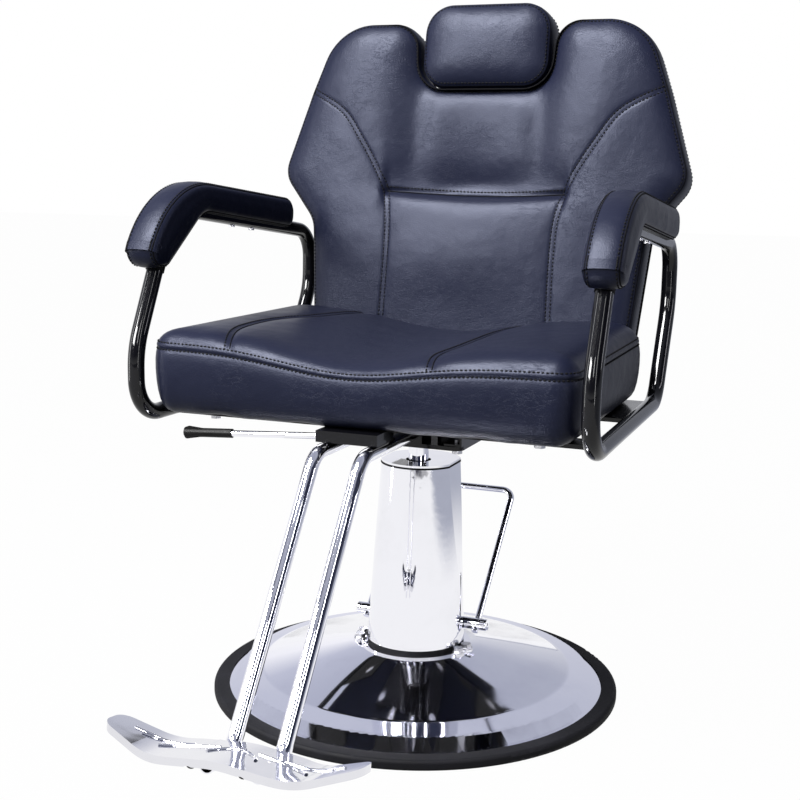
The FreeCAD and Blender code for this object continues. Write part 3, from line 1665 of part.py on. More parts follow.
def headrest_cushion():
    half = float(s.rest_half)
    low = float(s.rest_bottom)
    high = low + float(s.rest_height)
    rounding = float(s.rest_rounding)
    corners = [(half, low, rounding), (half, high, rounding), (-half, high, rounding), (-half, low, rounding)]
    levels = levels_between(
        -float(s.rest_front), float(s.rest_rear), REST_LEVEL_SHARES, float(s.rest_draw_in))
    shape = padded_form(corners, levels, lambda depth: lambda spot: V(spot.x, depth, spot.y))
    for side in (1, -1):
        shape = shape.cut(post_form(side))
    set_shape("headrest_cushion", shape, back_placement())


def build():
    base_ring()
    base_dish()
    pump_flange()
    flange_bolts()
    column_seal()
    column_cover()
    column_top()
    pump_body()
    piston_gland()
    piston_rod()
    lever_shaft()
    lever_bar()
    lever_grub_screws()
    swivel_socket()
    head_plate()
    head_bolts()
    seat_board()
    seat_cushion()
    seat_frame()
    arm_pad_screws()
    tread_buffers()
    foot_tread()
    foot_bracket()
    tube_saddle()
    recline_lever()
    lever_pin()
    lock_cylinder()
    lock_anchor()
    lock_rod()
    lock_fork()
    back_cushion()
    back_panels()
    back_axle()
    back_arm_screws()
    headrest_cushion()
    for side, name in ((1, "left"), (-1, "right")):
        lever_sleeve(side, f"lever_sleeve_{name}")
        head_rail(side, f"head_rail_{name}")
        hinge_ear(side, f"hinge_ear_{name}")
        arm_side(side, name)
        foot_tube(side, f"foot_tube_{name}")
        back_arm(side, f"back_arm_{name}")
        headrest_bush(side, f"headrest_bush_{name}")
        headrest_post(side, f"headrest_post_{name}")


def check_and_export():
    doc.recompute()
    faults = []
    for item in doc.Objects:
        if "Invalid" in item.State or "Error" in item.State:
            faults.append(f"{item.Label}: {item.State}")
    for node in nodes:
        if node.Shape.isNull() or not node.Shape.isValid() or not node.Shape.Solids:
            faults.append(f"{node.Label}: its shape is not a valid solid")
    if faults:
        raise RuntimeError("; ".join(faults))
    os.makedirs("parts", exist_ok=True)
    for node in nodes:
        node.Shape.exportStep(f"parts/{node.Label}.step")
    print(f"{len(nodes)} pieces written")


build()
check_and_export()
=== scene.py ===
# %% [markdown]
# A hydraulic salon chair, dressed for its portrait. The solid model gives every metal piece its
# exact shape. This lesson adds what a solid model lacks: sewn and stuffed covers, thread, cast
# ribs, and finishes that catch the light as leather cloth, chrome and gloss paint do.

# %% Load the frame
import math

import bmesh
import bpy
import numpy as np
from mathutils import Matrix, Vector
from mathutils.bvhtree import BVHTree
from mathutils.geometry import delaunay_2d_cdt


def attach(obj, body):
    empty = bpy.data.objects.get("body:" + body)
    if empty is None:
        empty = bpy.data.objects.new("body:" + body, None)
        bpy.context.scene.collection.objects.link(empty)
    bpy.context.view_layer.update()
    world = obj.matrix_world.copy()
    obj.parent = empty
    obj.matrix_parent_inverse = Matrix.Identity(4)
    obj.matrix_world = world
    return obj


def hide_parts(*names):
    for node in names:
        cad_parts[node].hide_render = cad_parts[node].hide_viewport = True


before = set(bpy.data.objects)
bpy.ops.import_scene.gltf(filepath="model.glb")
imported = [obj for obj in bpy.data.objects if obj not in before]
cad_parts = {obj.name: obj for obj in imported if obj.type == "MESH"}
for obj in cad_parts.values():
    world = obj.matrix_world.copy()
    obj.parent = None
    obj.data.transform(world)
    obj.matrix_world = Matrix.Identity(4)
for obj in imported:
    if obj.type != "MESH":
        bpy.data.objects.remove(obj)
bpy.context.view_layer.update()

MM = 0.001
print("pieces in the frame:", len(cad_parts))

# %% [markdown]
# The camera comes first, because every later choice is judged through it. Its place was worked
# out from the round base, whose true circle shows as an ellipse, and from the level seat.

# %% Camera
CAMERA_PLACE = (0.6767, -1.7545, 0.7533)
CAMERA_HEADING = 21.93
CAMERA_PITCH = 9.96
CAMERA_ROLL = 0.75
CAMERA_LENS = 60.71


def turned(angle, axis):
    return Matrix.Rotation(math.radians(angle), 4, axis)


def add_camera():
    data = bpy.data.cameras.new("portrait")
    data.lens = CAMERA_LENS
    data.clip_end = 60
    camera = bpy.data.objects.new("portrait", data)
    bpy.context.scene.collection.objects.link(camera)
    aim = turned(CAMERA_HEADING, "Z") @ turned(90 - CAMERA_PITCH, "X") @ turned(CAMERA_ROLL, "Z")
    camera.matrix_world = Matrix.Translation(CAMERA_PLACE) @ aim
    bpy.context.scene.camera = camera


add_camera()
print("camera stands at", CAMERA_PLACE)

# %% [markdown]
# Shader maths reads best as plain arithmetic. A Signal wraps one socket of a node tree, so that
# 1 - mask * 0.5 adds the Math nodes by itself. A Bench holds the tree and adds any other node.

# %% Shader workbench
class Signal:
    """One value on its way through a node tree."""

    def __init__(self, tree, socket):
        self.tree = tree
        self.socket = socket

    def sum_up(self, operation, first, second=None):
        node = self.tree.nodes.new("ShaderNodeMath")
        node.operation = operation
        plug(self.tree, node.inputs[0], first)
        if second is not None:
            plug(self.tree, node.inputs[1], second)
        return Signal(self.tree, node.outputs[0])

    def __add__(self, other):
        return self.sum_up("ADD", self, other)

    def __radd__(self, other):
        return self.sum_up("ADD", other, self)

    def __sub__(self, other):
        return self.sum_up("SUBTRACT", self, other)

    def __rsub__(self, other):
        return self.sum_up("SUBTRACT", other, self)

    def __mul__(self, other):
        return self.sum_up("MULTIPLY", self, other)

    def __rmul__(self, other):
        return self.sum_up("MULTIPLY", other, self)

    def __truediv__(self, other):
        return self.sum_up("DIVIDE", self, other)

    def __pow__(self, other):
        return self.sum_up("POWER", self, other)

    def __abs__(self):
        return self.sum_up("ABSOLUTE", self)

    def at_least(self, other):
        return self.sum_up("MAXIMUM", self, other)


def plug(tree, socket, value):
    """Link a signal to a socket, or set a plain value on it."""
    if isinstance(value, Signal):
        tree.links.new(value.socket, socket)
    else:
        socket.default_value = value


def named_socket(sockets, name):
    """The first enabled socket with that name, because a Mix node keeps one set for each type."""
    return next(s for s in sockets if s.name == name and s.enabled)


class Bench:
    """The node tree of one material or of the world."""

    def __init__(self, tree):
        self.tree = tree
        tree.nodes.clear()

    def node(self, kind, settings=(), values=(), out=0):
        """Add a node: its settings first, then its sockets, each by name or number."""
        node = self.tree.nodes.new(kind)
        for name, value in dict(settings).items():
            if name == "stops":
                self.set_stops(node, value)
            else:
                setattr(node, name, value)
        for name, value in dict(values).items():
            socket = node.inputs[name] if isinstance(name, int) else named_socket(node.inputs, name)
            plug(self.tree, socket, value)
        socket = node.outputs[out] if isinstance(out, int) else named_socket(node.outputs, out)
        return Signal(self.tree, socket)

    def set_stops(self, node, stops):
        ramp = node.color_ramp
        while len(ramp.elements) < len(stops):
            ramp.elements.new(1)
        for element, (place, colour) in zip(ramp.elements, stops):
            element.position = place
            element.color = colour

    def place(self, scale=(1, 1, 1)):
        """Where on the object a point is, in metres, stretched by scale."""
        spot = self.node("ShaderNodeTexCoord", out="Object")
        return self.node("ShaderNodeMapping", {}, {"Vector": spot, "Scale": scale})

    def point(self, x, y, z):
        """A vector from its three parts."""
        return self.node("ShaderNodeCombineXYZ", {}, {"X": x, "Y": y, "Z": z})

    def noise(self, scale, detail=3, rough=0.5, spot=None, warp=0):
        spot = spot or self.place()
        values = {"Vector": spot, "Scale": scale, "Detail": detail}
        values.update({"Roughness": rough, "Distortion": warp})
        return self.node("ShaderNodeTexNoise", {}, values, out="Fac")

    def cells(self, scale, spot=None):
        spot = spot or self.place()
        return self.node("ShaderNodeTexVoronoi", {}, {"Vector": spot, "Scale": scale}, out="Distance")

    def soft_step(self, value, start, end):
        settings = {"interpolation_type": "SMOOTHSTEP"}
        values = {"Value": value, "From Min": start, "From Max": end}
        return self.node("ShaderNodeMapRange", settings, values)

    def blend(self, factor, first, second):
        values = {"Factor": factor, "A": first, "B": second}
        return self.node("ShaderNodeMix", {"data_type": "RGBA"}, values, out="Result")

    def bump(self, height, depth, under=None):
        values = {"Height": height, "Distance": depth, "Strength": 1}
        if under:
            values["Normal"] = under
        return self.node("ShaderNodeBump", {}, values)

    def finish(self, values):
        shader = self.node("ShaderNodeBsdfPrincipled", {}, values)
        self.node_output("ShaderNodeOutputMaterial", shader)

    def node_output(self, kind, shader):
        output = self.tree.nodes.new(kind)
        self.tree.links.new(shader.socket, output.inputs["Surface"])


def new_finish(name):
    material = bpy.data.materials.new(name)
    material.use_nodes = True
    return material, Bench(material.node_tree)


def grey(level, blue=1.0):
    """An opaque colour near grey. Blue above 1 cools it."""
    return (level, level, level * blue, 1)


def hairline(bench, value, width):
    """1 where a value passes its middle, falling to 0 within a width: a thin winding line."""
    return 1 - bench.soft_step(abs(value - 0.5), 0.0, width)


print("shader workbench ready")

# %% [markdown]
# The covers are leather cloth, a soft plastic skin on a knit backing. It has a fine pebble grain,
# and hair creases where it was stretched over the foam. The colour is a navy that is almost
# black, and the grain breaks the highlights into a soft grey sheen.

# %% Leather cloth
LEATHER_DARK = (0.0022, 0.0028, 0.0074, 1)
LEATHER_PALE = (0.0034, 0.0041, 0.0102, 1)
LEATHER_SHINE = 0.13
LEATHER_SHINE_TINT = (0.74, 0.79, 1.0, 1.0)
LEATHER_ROUGHNESS = 0.36
# How many features lie in a metre, and how deep they are in metres
PEBBLES = 520
PEBBLE_DEPTH = 0.00011
CREASES = 58
CREASE_DEPTH = 0.0001
CREASE_WIDTH = 0.03
WAVES = 14
WAVE_DEPTH = 0.0024


def leather_cloth():
    material, bench = new_finish("navy_leather_cloth")
    tone = bench.noise(7, detail=2)
    colour = bench.blend(tone, LEATHER_DARK, LEATHER_PALE)
    stretch = bench.place((1, 1, 2.2))
    creases = bench.noise(CREASES, detail=5, rough=0.6, spot=stretch, warp=0.7)
    where = bench.soft_step(bench.noise(9, detail=2), 0.35, 0.7)
    crease = hairline(bench, creases, CREASE_WIDTH) * where
    pebble = bench.cells(PEBBLES) + bench.noise(900, detail=1) * 0.4
    wave = bench.noise(WAVES, detail=3, rough=0.55)
    normal = bench.bump(wave, WAVE_DEPTH)
    normal = bench.bump(0 - crease, CREASE_DEPTH, normal)
    normal = bench.bump(pebble, PEBBLE_DEPTH, normal)
    rough = LEATHER_ROUGHNESS + bench.noise(40, detail=2) * 0.08 + crease * 0.04
    bench.finish({
        "Base Color": colour, "Roughness": rough, "Normal": normal, "Specular IOR Level": LEATHER_SHINE,
        "Specular Tint": LEATHER_SHINE_TINT,
    })
    return material


leather = leather_cloth()
print("finish", leather.name)

# %% [markdown]
# Thread is a darker twist of polyester. Seen close, each stitch shows the lay of its strands, so
# a narrow wave runs over it. The same black serves for every sewn row.

# %% Thread
STRANDS = 900
STRAND_DEPTH = 0.0001
THREAD_SHINE = 0.08
# The last shine is that of the near-black lines of painted seam shade
SEAM_SHADE_SHINE = 0.05


def sewing_thread():
    material, bench = new_finish("black_thread")
    strand = bench.node(
        "ShaderNodeTexWave", {"bands_direction": "DIAGONAL"},
        {"Vector": bench.place(), "Scale": STRANDS, "Distortion": 0.5}, out="Fac")
    colour = bench.blend(strand, grey(0.0008), grey(0.0024, 1.2))
    bench.finish({
        "Base Color": colour, "Roughness": 0.6 + strand * 0.2, "Normal": bench.bump(strand, STRAND_DEPTH),
        "Specular IOR Level": THREAD_SHINE,
    })
    return material


def seam_shade():
    """Painted shade: the near-black finish of thin lines laid in the creases where two panels meet, which
    light hardly reaches.
    """
    material, bench = new_finish("seam_fold")
    shade_mottle = bench.noise(300, detail=3)
    colour = bench.blend(shade_mottle, grey(0.0008), grey(0.0022, 1.4))
    bench.finish({"Base Color": colour, "Roughness": 0.8 + shade_mottle * 0.1, "Specular IOR Level": SEAM_SHADE_SHINE})
    return material


thread = sewing_thread()
# The second finish is for the near-black lines of painted shade in the seams' creases
fold = seam_shade()
print("finishes", thread.name, fold.name)

# %% [markdown]
# Chrome is nearly a mirror. What makes it look real is what it reflects, plus a few faults: a
# faint wave left by the press, a film of fingermarks, and fine polishing lines. The cast tread
# has the same plating over a rougher skin, so its wave is stronger. The dish was spun on a lathe,
# so its lines run round it. Its shine leans out as a steep cone and then lies nearly flat, which
# puts the dark underside of the seat into the cone, as in the photograph.

# %% Chrome and plated steel
FINGERMARKS = 9
POLISHING_LINES = 60
POLISHING_STRETCH = (1, 1, 14)
POLISHING_DEPTH = 0.0000015
# Where the dish's cone ends, in metres, how steeply the cone and the rim beyond it fall, and
# the lines that the spinning left
DISH_CREASE = 0.222
DISH_CREASE_BLEND = 0.004
DISH_CONE_SLOPE = 0.46
DISH_RIM_SLOPE = 0.04
SPINNING_LINES = 900
SPINNING_DEPTH = 0.000004
DISH_WAVES = 10
DISH_WAVE_DEPTH = 0.00035


def fingermarks(bench):
    return bench.soft_step(bench.noise(FINGERMARKS, detail=4, rough=0.6), 0.45, 0.75)


def plated(name, level, wave_scale, wave_depth, rough):
    material, bench = new_finish(name)
    film = fingermarks(bench)
    colour = bench.blend(film, grey(level, 1.05), grey(level * 0.94, 1.05))
    wave = bench.noise(wave_scale, detail=2)
    lines = bench.noise(POLISHING_LINES, detail=2, spot=bench.place(POLISHING_STRETCH))
    normal = bench.bump(lines, POLISHING_DEPTH, bench.bump(wave, wave_depth))
    bench.finish({
        "Base Color": colour, "Metallic": 1.0, "Roughness": rough + film * rough * 1.2, "Normal": normal})
    return material


def spun_dish():
    """The plating of the spun base: its shine leans out as a steeper cone, then lies flat to the rim."""
    material, bench = new_finish("spun_chrome_dish")
    spot = bench.place()
    x = bench.node("ShaderNodeSeparateXYZ", {}, {"Vector": spot}, out="X")
    y = bench.node("ShaderNodeSeparateXYZ", {}, {"Vector": spot}, out="Y")
    radius = (x ** 2 + y ** 2) ** 0.5
    flat = bench.soft_step(radius, DISH_CREASE - DISH_CREASE_BLEND, DISH_CREASE + DISH_CREASE_BLEND)
    lean = (1 - flat) * DISH_CONE_SLOPE + flat * DISH_RIM_SLOPE
    facing = bench.point(x / radius * lean, y / radius * lean, 1.0)
    facing = bench.node("ShaderNodeVectorMath", {"operation": "NORMALIZE"}, {0: facing}, out="Vector")
    spinning = bench.noise(1, detail=2, spot=bench.point(radius * SPINNING_LINES, 0, 0))
    wave = bench.noise(DISH_WAVES, detail=2)
    normal = bench.bump(spinning, SPINNING_DEPTH, bench.bump(wave, DISH_WAVE_DEPTH, facing))
    film = fingermarks(bench)
    colour = bench.blend(film, grey(0.86, 1.08), grey(0.8, 1.1))
    bench.finish({"Base Color": colour, "Metallic": 1.0, "Roughness": 0.05 + film * 0.05, "Normal": normal})
    return material


dish_chrome = spun_dish()
chrome = plated("bright_chrome", 0.88, 9, 0.00025, 0.035)
cast_chrome = plated("cast_chrome", 0.78, 16, 0.0006, 0.06)
zinc = plated("zinc_plate", 0.55, 120, 0.00005, 0.26)
print("finishes", chrome.name, cast_chrome.name, zinc.name)

# %% [markdown]
# The arm loops are steel tube in gloss black paint. A clear coat over a dark base gives the long
# sharp highlights, and a slight orange-peel wave keeps them from looking drawn with a ruler.

# %% Gloss paint
PAINT_DARK = (0.0014, 0.0014, 0.002, 1)
PAINT_DUSTY = (0.0027, 0.0027, 0.004, 1)
ORANGE_PEEL = 260
ORANGE_PEEL_DEPTH = 0.00002


def gloss_paint():
    material, bench = new_finish("gloss_black_paint")
    dust = bench.soft_step(bench.noise(18, detail=4, rough=0.7), 0.55, 0.8)
    peel = bench.noise(ORANGE_PEEL, detail=1)
    bench.finish({
        "Base Color": bench.blend(dust, PAINT_DARK, PAINT_DUSTY), "Roughness": 0.16 + dust * 0.1,
        "Normal": bench.bump(peel, ORANGE_PEEL_DEPTH), "Specular IOR Level": 0.08, "Coat Weight": 0.4,
        "Coat Roughness": 0.03,
    })
    return material


paint = gloss_paint()
print("finish", paint.name)

# %% [markdown]
# The bumper ring of the base is moulded rubber: dull, a little dusty, with a fine moulded skin.
# The grip of the recline lever is a smoother plastic, and a coarse black cloth covers the rear of
# the back. All are very dark greys, never pure black, and dust pales them here and there.

# %% Rubber and plastic
MOULDED_SHINE = 0.1


def moulded(name, dark, pale, rough, grain_scale, grain_depth):
    material, bench = new_finish(name)
    dust = bench.soft_step(bench.noise(24, detail=5, rough=0.65), 0.4, 0.75)
    colour = bench.blend(dust, dark, pale)
    grain = bench.noise(grain_scale, detail=3)
    bench.finish({
        "Base Color": colour, "Roughness": rough + dust * 0.12, "Normal": bench.bump(grain, grain_depth),
        "Specular IOR Level": MOULDED_SHINE,
    })
    return material


rubber = moulded("bumper_rubber", grey(0.0022, 1.4), grey(0.004, 1.4), 0.66, 700, 0.00006)
plastic = moulded("grip_plastic", grey(0.0017), grey(0.003), 0.36, 500, 0.00003)
cover_cloth = moulded("black_cover", grey(0.0025), grey(0.0042), 0.62, 380, 0.0002)
print("finishes", rubber.name, plastic.name, cover_cloth.name)

# %% [markdown]
# Sheets of plywood carry the foam of the seat and the back. They are stained black, so that no
# pale edge shows under a cover, but the grain and its growth lines still come through.

# %% Plywood
STAIN_DARK = (0.0055, 0.0045, 0.004, 1)
STAIN_PALE = (0.012, 0.0095, 0.0085, 1)
STAIN_LINE = (0.003, 0.0025, 0.0025, 1)
GRAIN_STRETCH = (1, 9, 9)
GRAIN_DEPTH = 0.0002
GRAIN_LINE_WIDTH = 0.06


def plywood():
    material, bench = new_finish("stained_plywood")
    grain = bench.noise(16, detail=6, rough=0.6, spot=bench.place(GRAIN_STRETCH), warp=0.3)
    line = hairline(bench, grain, GRAIN_LINE_WIDTH)
    colour = bench.blend(line * 0.5, bench.blend(grain, STAIN_DARK, STAIN_PALE), STAIN_LINE)
    bench.finish({
        "Base Color": colour, "Roughness": 0.6 + line * 0.15, "Normal": bench.bump(grain, GRAIN_DEPTH),
        "Specular IOR Level": 0.2,
    })
    return material


wood = plywood()
FINISH_OF_SLOT = {
    "rubber_black": rubber, "chrome": chrome, "cast_tread": cast_chrome, "paint_black": paint,
    "zinc_steel": zinc, "leather_black": leather, "cover_black": cover_cloth, "board_wood": wood,
    "plastic_black": plastic,
}
# The photograph shows these in another finish than their slots say: the cast flange under the
# column is plated, and the bracket of the footrest is painted
FINISH_OF_NODE = {"pump_flange": chrome, "base_dish": dish_chrome, "foot_bracket": paint}


def dress_nodes():
    """Give each metal, rubber or wooden piece of the frame its finish, slot by slot."""
    for name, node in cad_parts.items():
        for slot in node.material_slots:
            of_slot = FINISH_OF_SLOT[slot.material.name.split(".")[0]]
            slot.material = FINISH_OF_NODE.get(name, of_slot)


dress_nodes()
print("finishes in use:", len(FINISH_OF_SLOT))

# %% [markdown]
# A padded form starts as an outline with rounded corners, as an upholsterer's card pattern does.
# Each corner is a point and a rounding, in millimetres. Drawing the outline in by a few
# millimetres gives the next ring of the cover, point for point, so rings can be joined by faces.

# %% Outlines
LEAST_ROUNDING_SHARE = 0.12
LEAST_ARC_STEPS = 5


def unit(vector):
    return vector / np.linalg.norm(vector)


def left_of(vector):
    return np.array([-vector[1], vector[0]])


def corner_turns(corners):
    """Each corner's place, the headings into and out of it, its turn and its rounding."""
    spots = [np.array(corner[:2], float) for corner in corners]
    turns = []
    for i, spot in enumerate(spots):
        into = unit(spot - spots[i - 1])
        away = unit(spots[(i + 1) % len(spots)] - spot)
        turn = math.atan2(into[0] * away[1] - into[1] * away[0], into @ away)
        turns.append((spot, into, away, turn, corners[i][2]))
    return turns


def drawn_in(corners, inset):
    drawn = []
    for spot, into, away, turn, rounding in corner_turns(corners):
        bisector = left_of(into) + left_of(away)
        moved = spot + bisector * inset / (1 + left_of(into) @ left_of(away))
        tighter = rounding - inset if turn > 0 else rounding + inset
        drawn.append((*moved, max(tighter, rounding * LEAST_ROUNDING_SHARE)))
    return drawn


class Outline:
    """A closed outline with rounded corners. Every ring drawn in from it has the same points."""

    def __init__(self, corners, spacing):
        self.corners = corners
        turns = corner_turns(corners)
        self.steps = []
        for i, (spot, into, away, turn, rounding) in enumerate(turns):
            arc = max(LEAST_ARC_STEPS, math.ceil(abs(turn) * rounding / spacing))
            line = max(1, math.ceil(np.linalg.norm(turns[(i + 1) % len(turns)][0] - spot) / spacing))
            self.steps.append((arc, line))

    def arcs(self, inset):
        """The points of each rounded corner, once the outline is drawn in."""
        arcs = []
        turns = corner_turns(drawn_in(self.corners, inset))
        for (spot, into, away, turn, rounding), (count, _) in zip(turns, self.steps):
            setback = rounding * math.tan(abs(turn) / 2)
            side = math.copysign(1, turn)
            first = spot - into * setback
            centre = first + left_of(into) * side * rounding
            angles = np.linspace(0, turn, count + 1)
            spoke = first - centre
            arcs.append(centre + np.outer(np.cos(angles), spoke) + np.outer(np.sin(angles), left_of(spoke)))
        return arcs

    def ring(self, inset):
        """Points round the outline, drawn in by an inset in millimetres."""
        arcs = self.arcs(inset)
        points = []
        for i, (_, count) in enumerate(self.steps):
            points.extend(arcs[i])
            start, end = arcs[i][-1], arcs[(i + 1) % len(arcs)][0]
            points.extend(start + (end - start) * k / count for k in range(1, count))
        return np.array(points)

    def loop(self, inset):
        """The same ring, with its first point again at the end."""
        return closed(self.ring(inset))

    def wall(self, rings, place):
        """The rings of a wall, set in the room by place. Each has a height and an inset."""
        return [place(self.ring(inset), height) for height, inset in rings]

    def rows(self, edge, insets):
        """Rows of points inside the edge of a face."""
        return [self.ring(edge + inset) for inset in insets]


def closed(ring):
    return np.vstack([ring, ring[:1]])


print("outline tools ready")

# %% [markdown]
# The face of a cushion is filled with small triangles. Rows of points run along the border and
# the seams, where the cover bends sharply, and a plain grid fills the rest. A height for each
# point then crowns the face, so a seam is a valley in a formula and not a cut in the mesh.

# %% Filling a face
# Spacing in millimetres, or as a share of a grid's spacing
GRID_LINE_SHARE = 0.87
GRID_CLEAR_SHARE = 0.55
ROW_CLEARANCE = 1.0
BORDER_CLEARANCE = 1.2
CURVE_STEPS = 24


def distance_to(points, path):
    """How far each point is from a path of points."""
    starts, ends = path[:-1], path[1:]
    run = ends - starts
    squares = np.maximum((run ** 2).sum(1), 1e-9)
    nearest = np.full(len(points), np.inf)
    for start, along, square in zip(starts, run, squares):
        share = np.clip((points - start) @ along / square, 0, 1)
        gap = points - start - np.outer(share, along)
        nearest = np.minimum(nearest, (gap ** 2).sum(1))
    return np.sqrt(nearest)


def is_inside(points, ring):
    inside = np.zeros(len(points), bool)
    x, y = points.T
    for (ax, ay), (bx, by) in zip(ring, np.roll(ring, -1, 0)):
        if ay != by:
            crosses = (ay > y) != (by > y)
            inside ^= crosses & (x < (bx - ax) * (y - ay) / (by - ay) + ax)
    return inside


def thinned(points, kept, gap):
    """Those points that stand clear of the kept ones and of each other."""
    taken = {}
    for point in kept:
        taken.setdefault((int(point[0] // gap), int(point[1] // gap)), []).append(point)
    chosen = []
    for point in points:
        cell = (int(point[0] // gap), int(point[1] // gap))
        nearby = [(cell[0] + i, cell[1] + j) for i in (-1, 0, 1) for j in (-1, 0, 1)]
        around = [q for other in nearby for q in taken.get(other, [])]
        if all((point[0] - q[0]) ** 2 + (point[1] - q[1]) ** 2 > gap * gap for q in around):
            taken.setdefault(cell, []).append(point)
            chosen.append(point)
    return chosen


def filled(ring, rows, spacing):
    """Triangles that fill a ring, with extra points along the rows."""
    low, high = ring.min(0), ring.max(0)
    columns = np.arange(low[0], high[0], spacing)
    lines = np.arange(low[1], high[1], spacing * GRID_LINE_SHARE)
    grid = np.array([(x + (i % 2) * spacing / 2, y) for i, y in enumerate(lines) for x in columns])
    wanted = np.vstack([*rows, grid]) if len(rows) else grid
    border = closed(ring)
    wanted = wanted[is_inside(wanted, ring)]
    wanted = wanted[distance_to(wanted, border) > BORDER_CLEARANCE]
    count = sum(len(row) for row in rows)
    fine = thinned(wanted[:count], ring, ROW_CLEARANCE)
    coarse = thinned(wanted[count:], [*ring, *fine], spacing * GRID_CLEAR_SHARE)
    points = [Vector(p) for p in (*ring, *fine, *coarse)]
    made = delaunay_2d_cdt(points, [], [list(range(len(ring)))], 1, 1e-4)
    return np.array([tuple(p) for p in made[0]]), made[2]


def smooth_path(corners, step=4.0):
    """A soft curve through a few points, as points a step apart."""
    spots = np.array(corners, float)
    padded_spots = np.vstack([2 * spots[0] - spots[1], spots, 2 * spots[-1] - spots[-2]])
    dense = []
    for i in range(1, len(padded_spots) - 2):
        a, b, c, d = padded_spots[i - 1:i + 3]
        t = np.linspace(0, 1, CURVE_STEPS, endpoint=False)[:, None]
        bent = (2 * a - 5 * b + 4 * c - d) * t ** 2 + (3 * b - a - 3 * c + d) * t ** 3
        dense.append(0.5 * (2 * b + (c - a) * t + bent))
    dense = np.vstack([*dense, spots[-1:]])
    return evenly(dense, step)


def evenly(path, step):
    """The same path with its points a step apart."""
    length = np.concatenate([[0], np.cumsum(np.linalg.norm(np.diff(path, axis=0), axis=1))])
    marks = np.linspace(0, length[-1], max(2, round(length[-1] / step) + 1))
    return np.stack([np.interp(marks, length, path[:, k]) for k in range(path.shape[1])], 1)


def beside(path, offset):
    """A path moved to its left by an offset."""
    heading = np.gradient(path, axis=0)
    heading /= np.linalg.norm(heading, axis=1)[:, None]
    return path + np.stack([-heading[:, 1], heading[:, 0]], 1) * offset


def bell(distance, width):
    return np.exp(-(distance / width) ** 2)


def rising(value, width):
    return 0.5 * (1 + np.tanh(value / width))


print("face tools ready")

# %% [markdown]
# A cushion's cover is then one closed skin: a crowned front face, a band of rings for its walls,
# and a rear face. The walls draw in between their seams. The skin is closed, its doubles are
# merged and its faces turned outwards, so that it exports cleanly.

# %% Cushion skins
MERGE_DISTANCE = 0.00002
LEAST_EDGE = 0.00001


def new_piece(name, mesh, material):
    for face in mesh.polygons:
        face.use_smooth = True
    mesh.materials.clear()
    mesh.materials.append(material)
    piece = bpy.data.objects.new(name, mesh)
    bpy.context.scene.collection.objects.link(piece)
    return piece


def tidy_skin(mesh):
    skin = bmesh.new()
    skin.from_mesh(mesh)
    bmesh.ops.remove_doubles(skin, verts=skin.verts, dist=MERGE_DISTANCE)
    bmesh.ops.dissolve_degenerate(skin, edges=skin.edges, dist=LEAST_EDGE)
    bmesh.ops.recalc_face_normals(skin, faces=skin.faces)
    skin.to_mesh(mesh)
    skin.free()


def skin_of(name, rings, front, rear):
    """Join rings of 3-D points by four-sided faces, and close both ends with filled faces."""
    points = [np.vstack(rings)]
    faces = []
    count = len(rings[0])
    for i in range(len(rings) - 1):
        for k in range(count):
            a, b = i * count + k, i * count + (k + 1) % count
            faces.append((a, b, b + count, a + count))
    for spots, triangles in (front, rear):
        start = sum(len(p) for p in points)
        points.append(spots)
        faces.extend(tuple(start + v for v in triangle) for triangle in triangles)
    mesh = bpy.data.meshes.new(name)
    mesh.from_pydata([tuple(p) for p in np.vstack(points)], [], faces)
    tidy_skin(mesh)
    return mesh


print("cushion tools ready")

# %% [markdown]
# Stitches repeat along a path, so Geometry Nodes sew them. The tree turns edges into a curve,
# spaces points a stitch apart, and sets a small bead of thread on each, laid along the seam.
# The same idea sweeps a round rib along a path, for the near-black lines of painted shade in the seams, the
# sleeves and the tread.

# %% Geometry trees
def new_tree(name, sizes):
    tree = bpy.data.node_groups.new(name, "GeometryNodeTree")
    tree.interface.new_socket("Geometry", in_out="INPUT", socket_type="NodeSocketGeometry")
    for label, value in sizes.items():
        socket = tree.interface.new_socket(label, in_out="INPUT", socket_type="NodeSocketFloat")
        socket.default_value = value
    tree.interface.new_socket("Material", in_out="INPUT", socket_type="NodeSocketMaterial")
    tree.interface.new_socket("Geometry", in_out="OUTPUT", socket_type="NodeSocketGeometry")
    return Bench(tree)


def path_from(bench, inputs, pitch):
    """The incoming edges as a curve, with a point every pitch."""
    curve = bench.node("GeometryNodeMeshToCurve", {}, {"Mesh": inputs["Geometry"]})
    return bench.node(
        "GeometryNodeResampleCurve", {"mode": "LENGTH"}, {"Curve": curve, "Length": inputs[pitch]})


def tree_inputs(bench):
    node = bench.tree.nodes.new("NodeGroupInput")
    return {socket.name: Signal(bench.tree, socket) for socket in node.outputs if socket.name}


def end_tree(bench, geometry, inputs):
    solid = bench.node("GeometryNodeRealizeInstances", {}, {"Geometry": geometry})
    smooth = bench.node("GeometryNodeSetShadeSmooth", {}, {"Geometry": solid})
    dressed = {"Geometry": smooth, "Material": inputs["Material"]}
    painted = bench.node("GeometryNodeSetMaterial", {}, dressed)
    output = bench.tree.nodes.new("NodeGroupOutput")
    bench.tree.links.new(painted.socket, output.inputs[0])
    return bench.tree


def stitch_tree():
    bench = new_tree("sewn_row", {"Pitch": 0.0056, "Half length": 0.0021, "Radius": 0.0012})
    inputs = tree_inputs(bench)
    points = path_from(bench, inputs, "Pitch")
    bead = bench.node("GeometryNodeMeshUVSphere", {}, {"Segments": 6, "Rings": 4, "Radius": 1.0})
    along = bench.node("GeometryNodeInputTangent")
    turn = bench.node("FunctionNodeAlignRotationToVector", {"axis": "Z"}, {"Vector": along})
    size = bench.point(inputs["Radius"], inputs["Radius"], inputs["Half length"])
    row = bench.node("GeometryNodeInstanceOnPoints", {}, {
        "Points": points, "Instance": bead, "Rotation": turn, "Scale": size})
    return end_tree(bench, row, inputs)


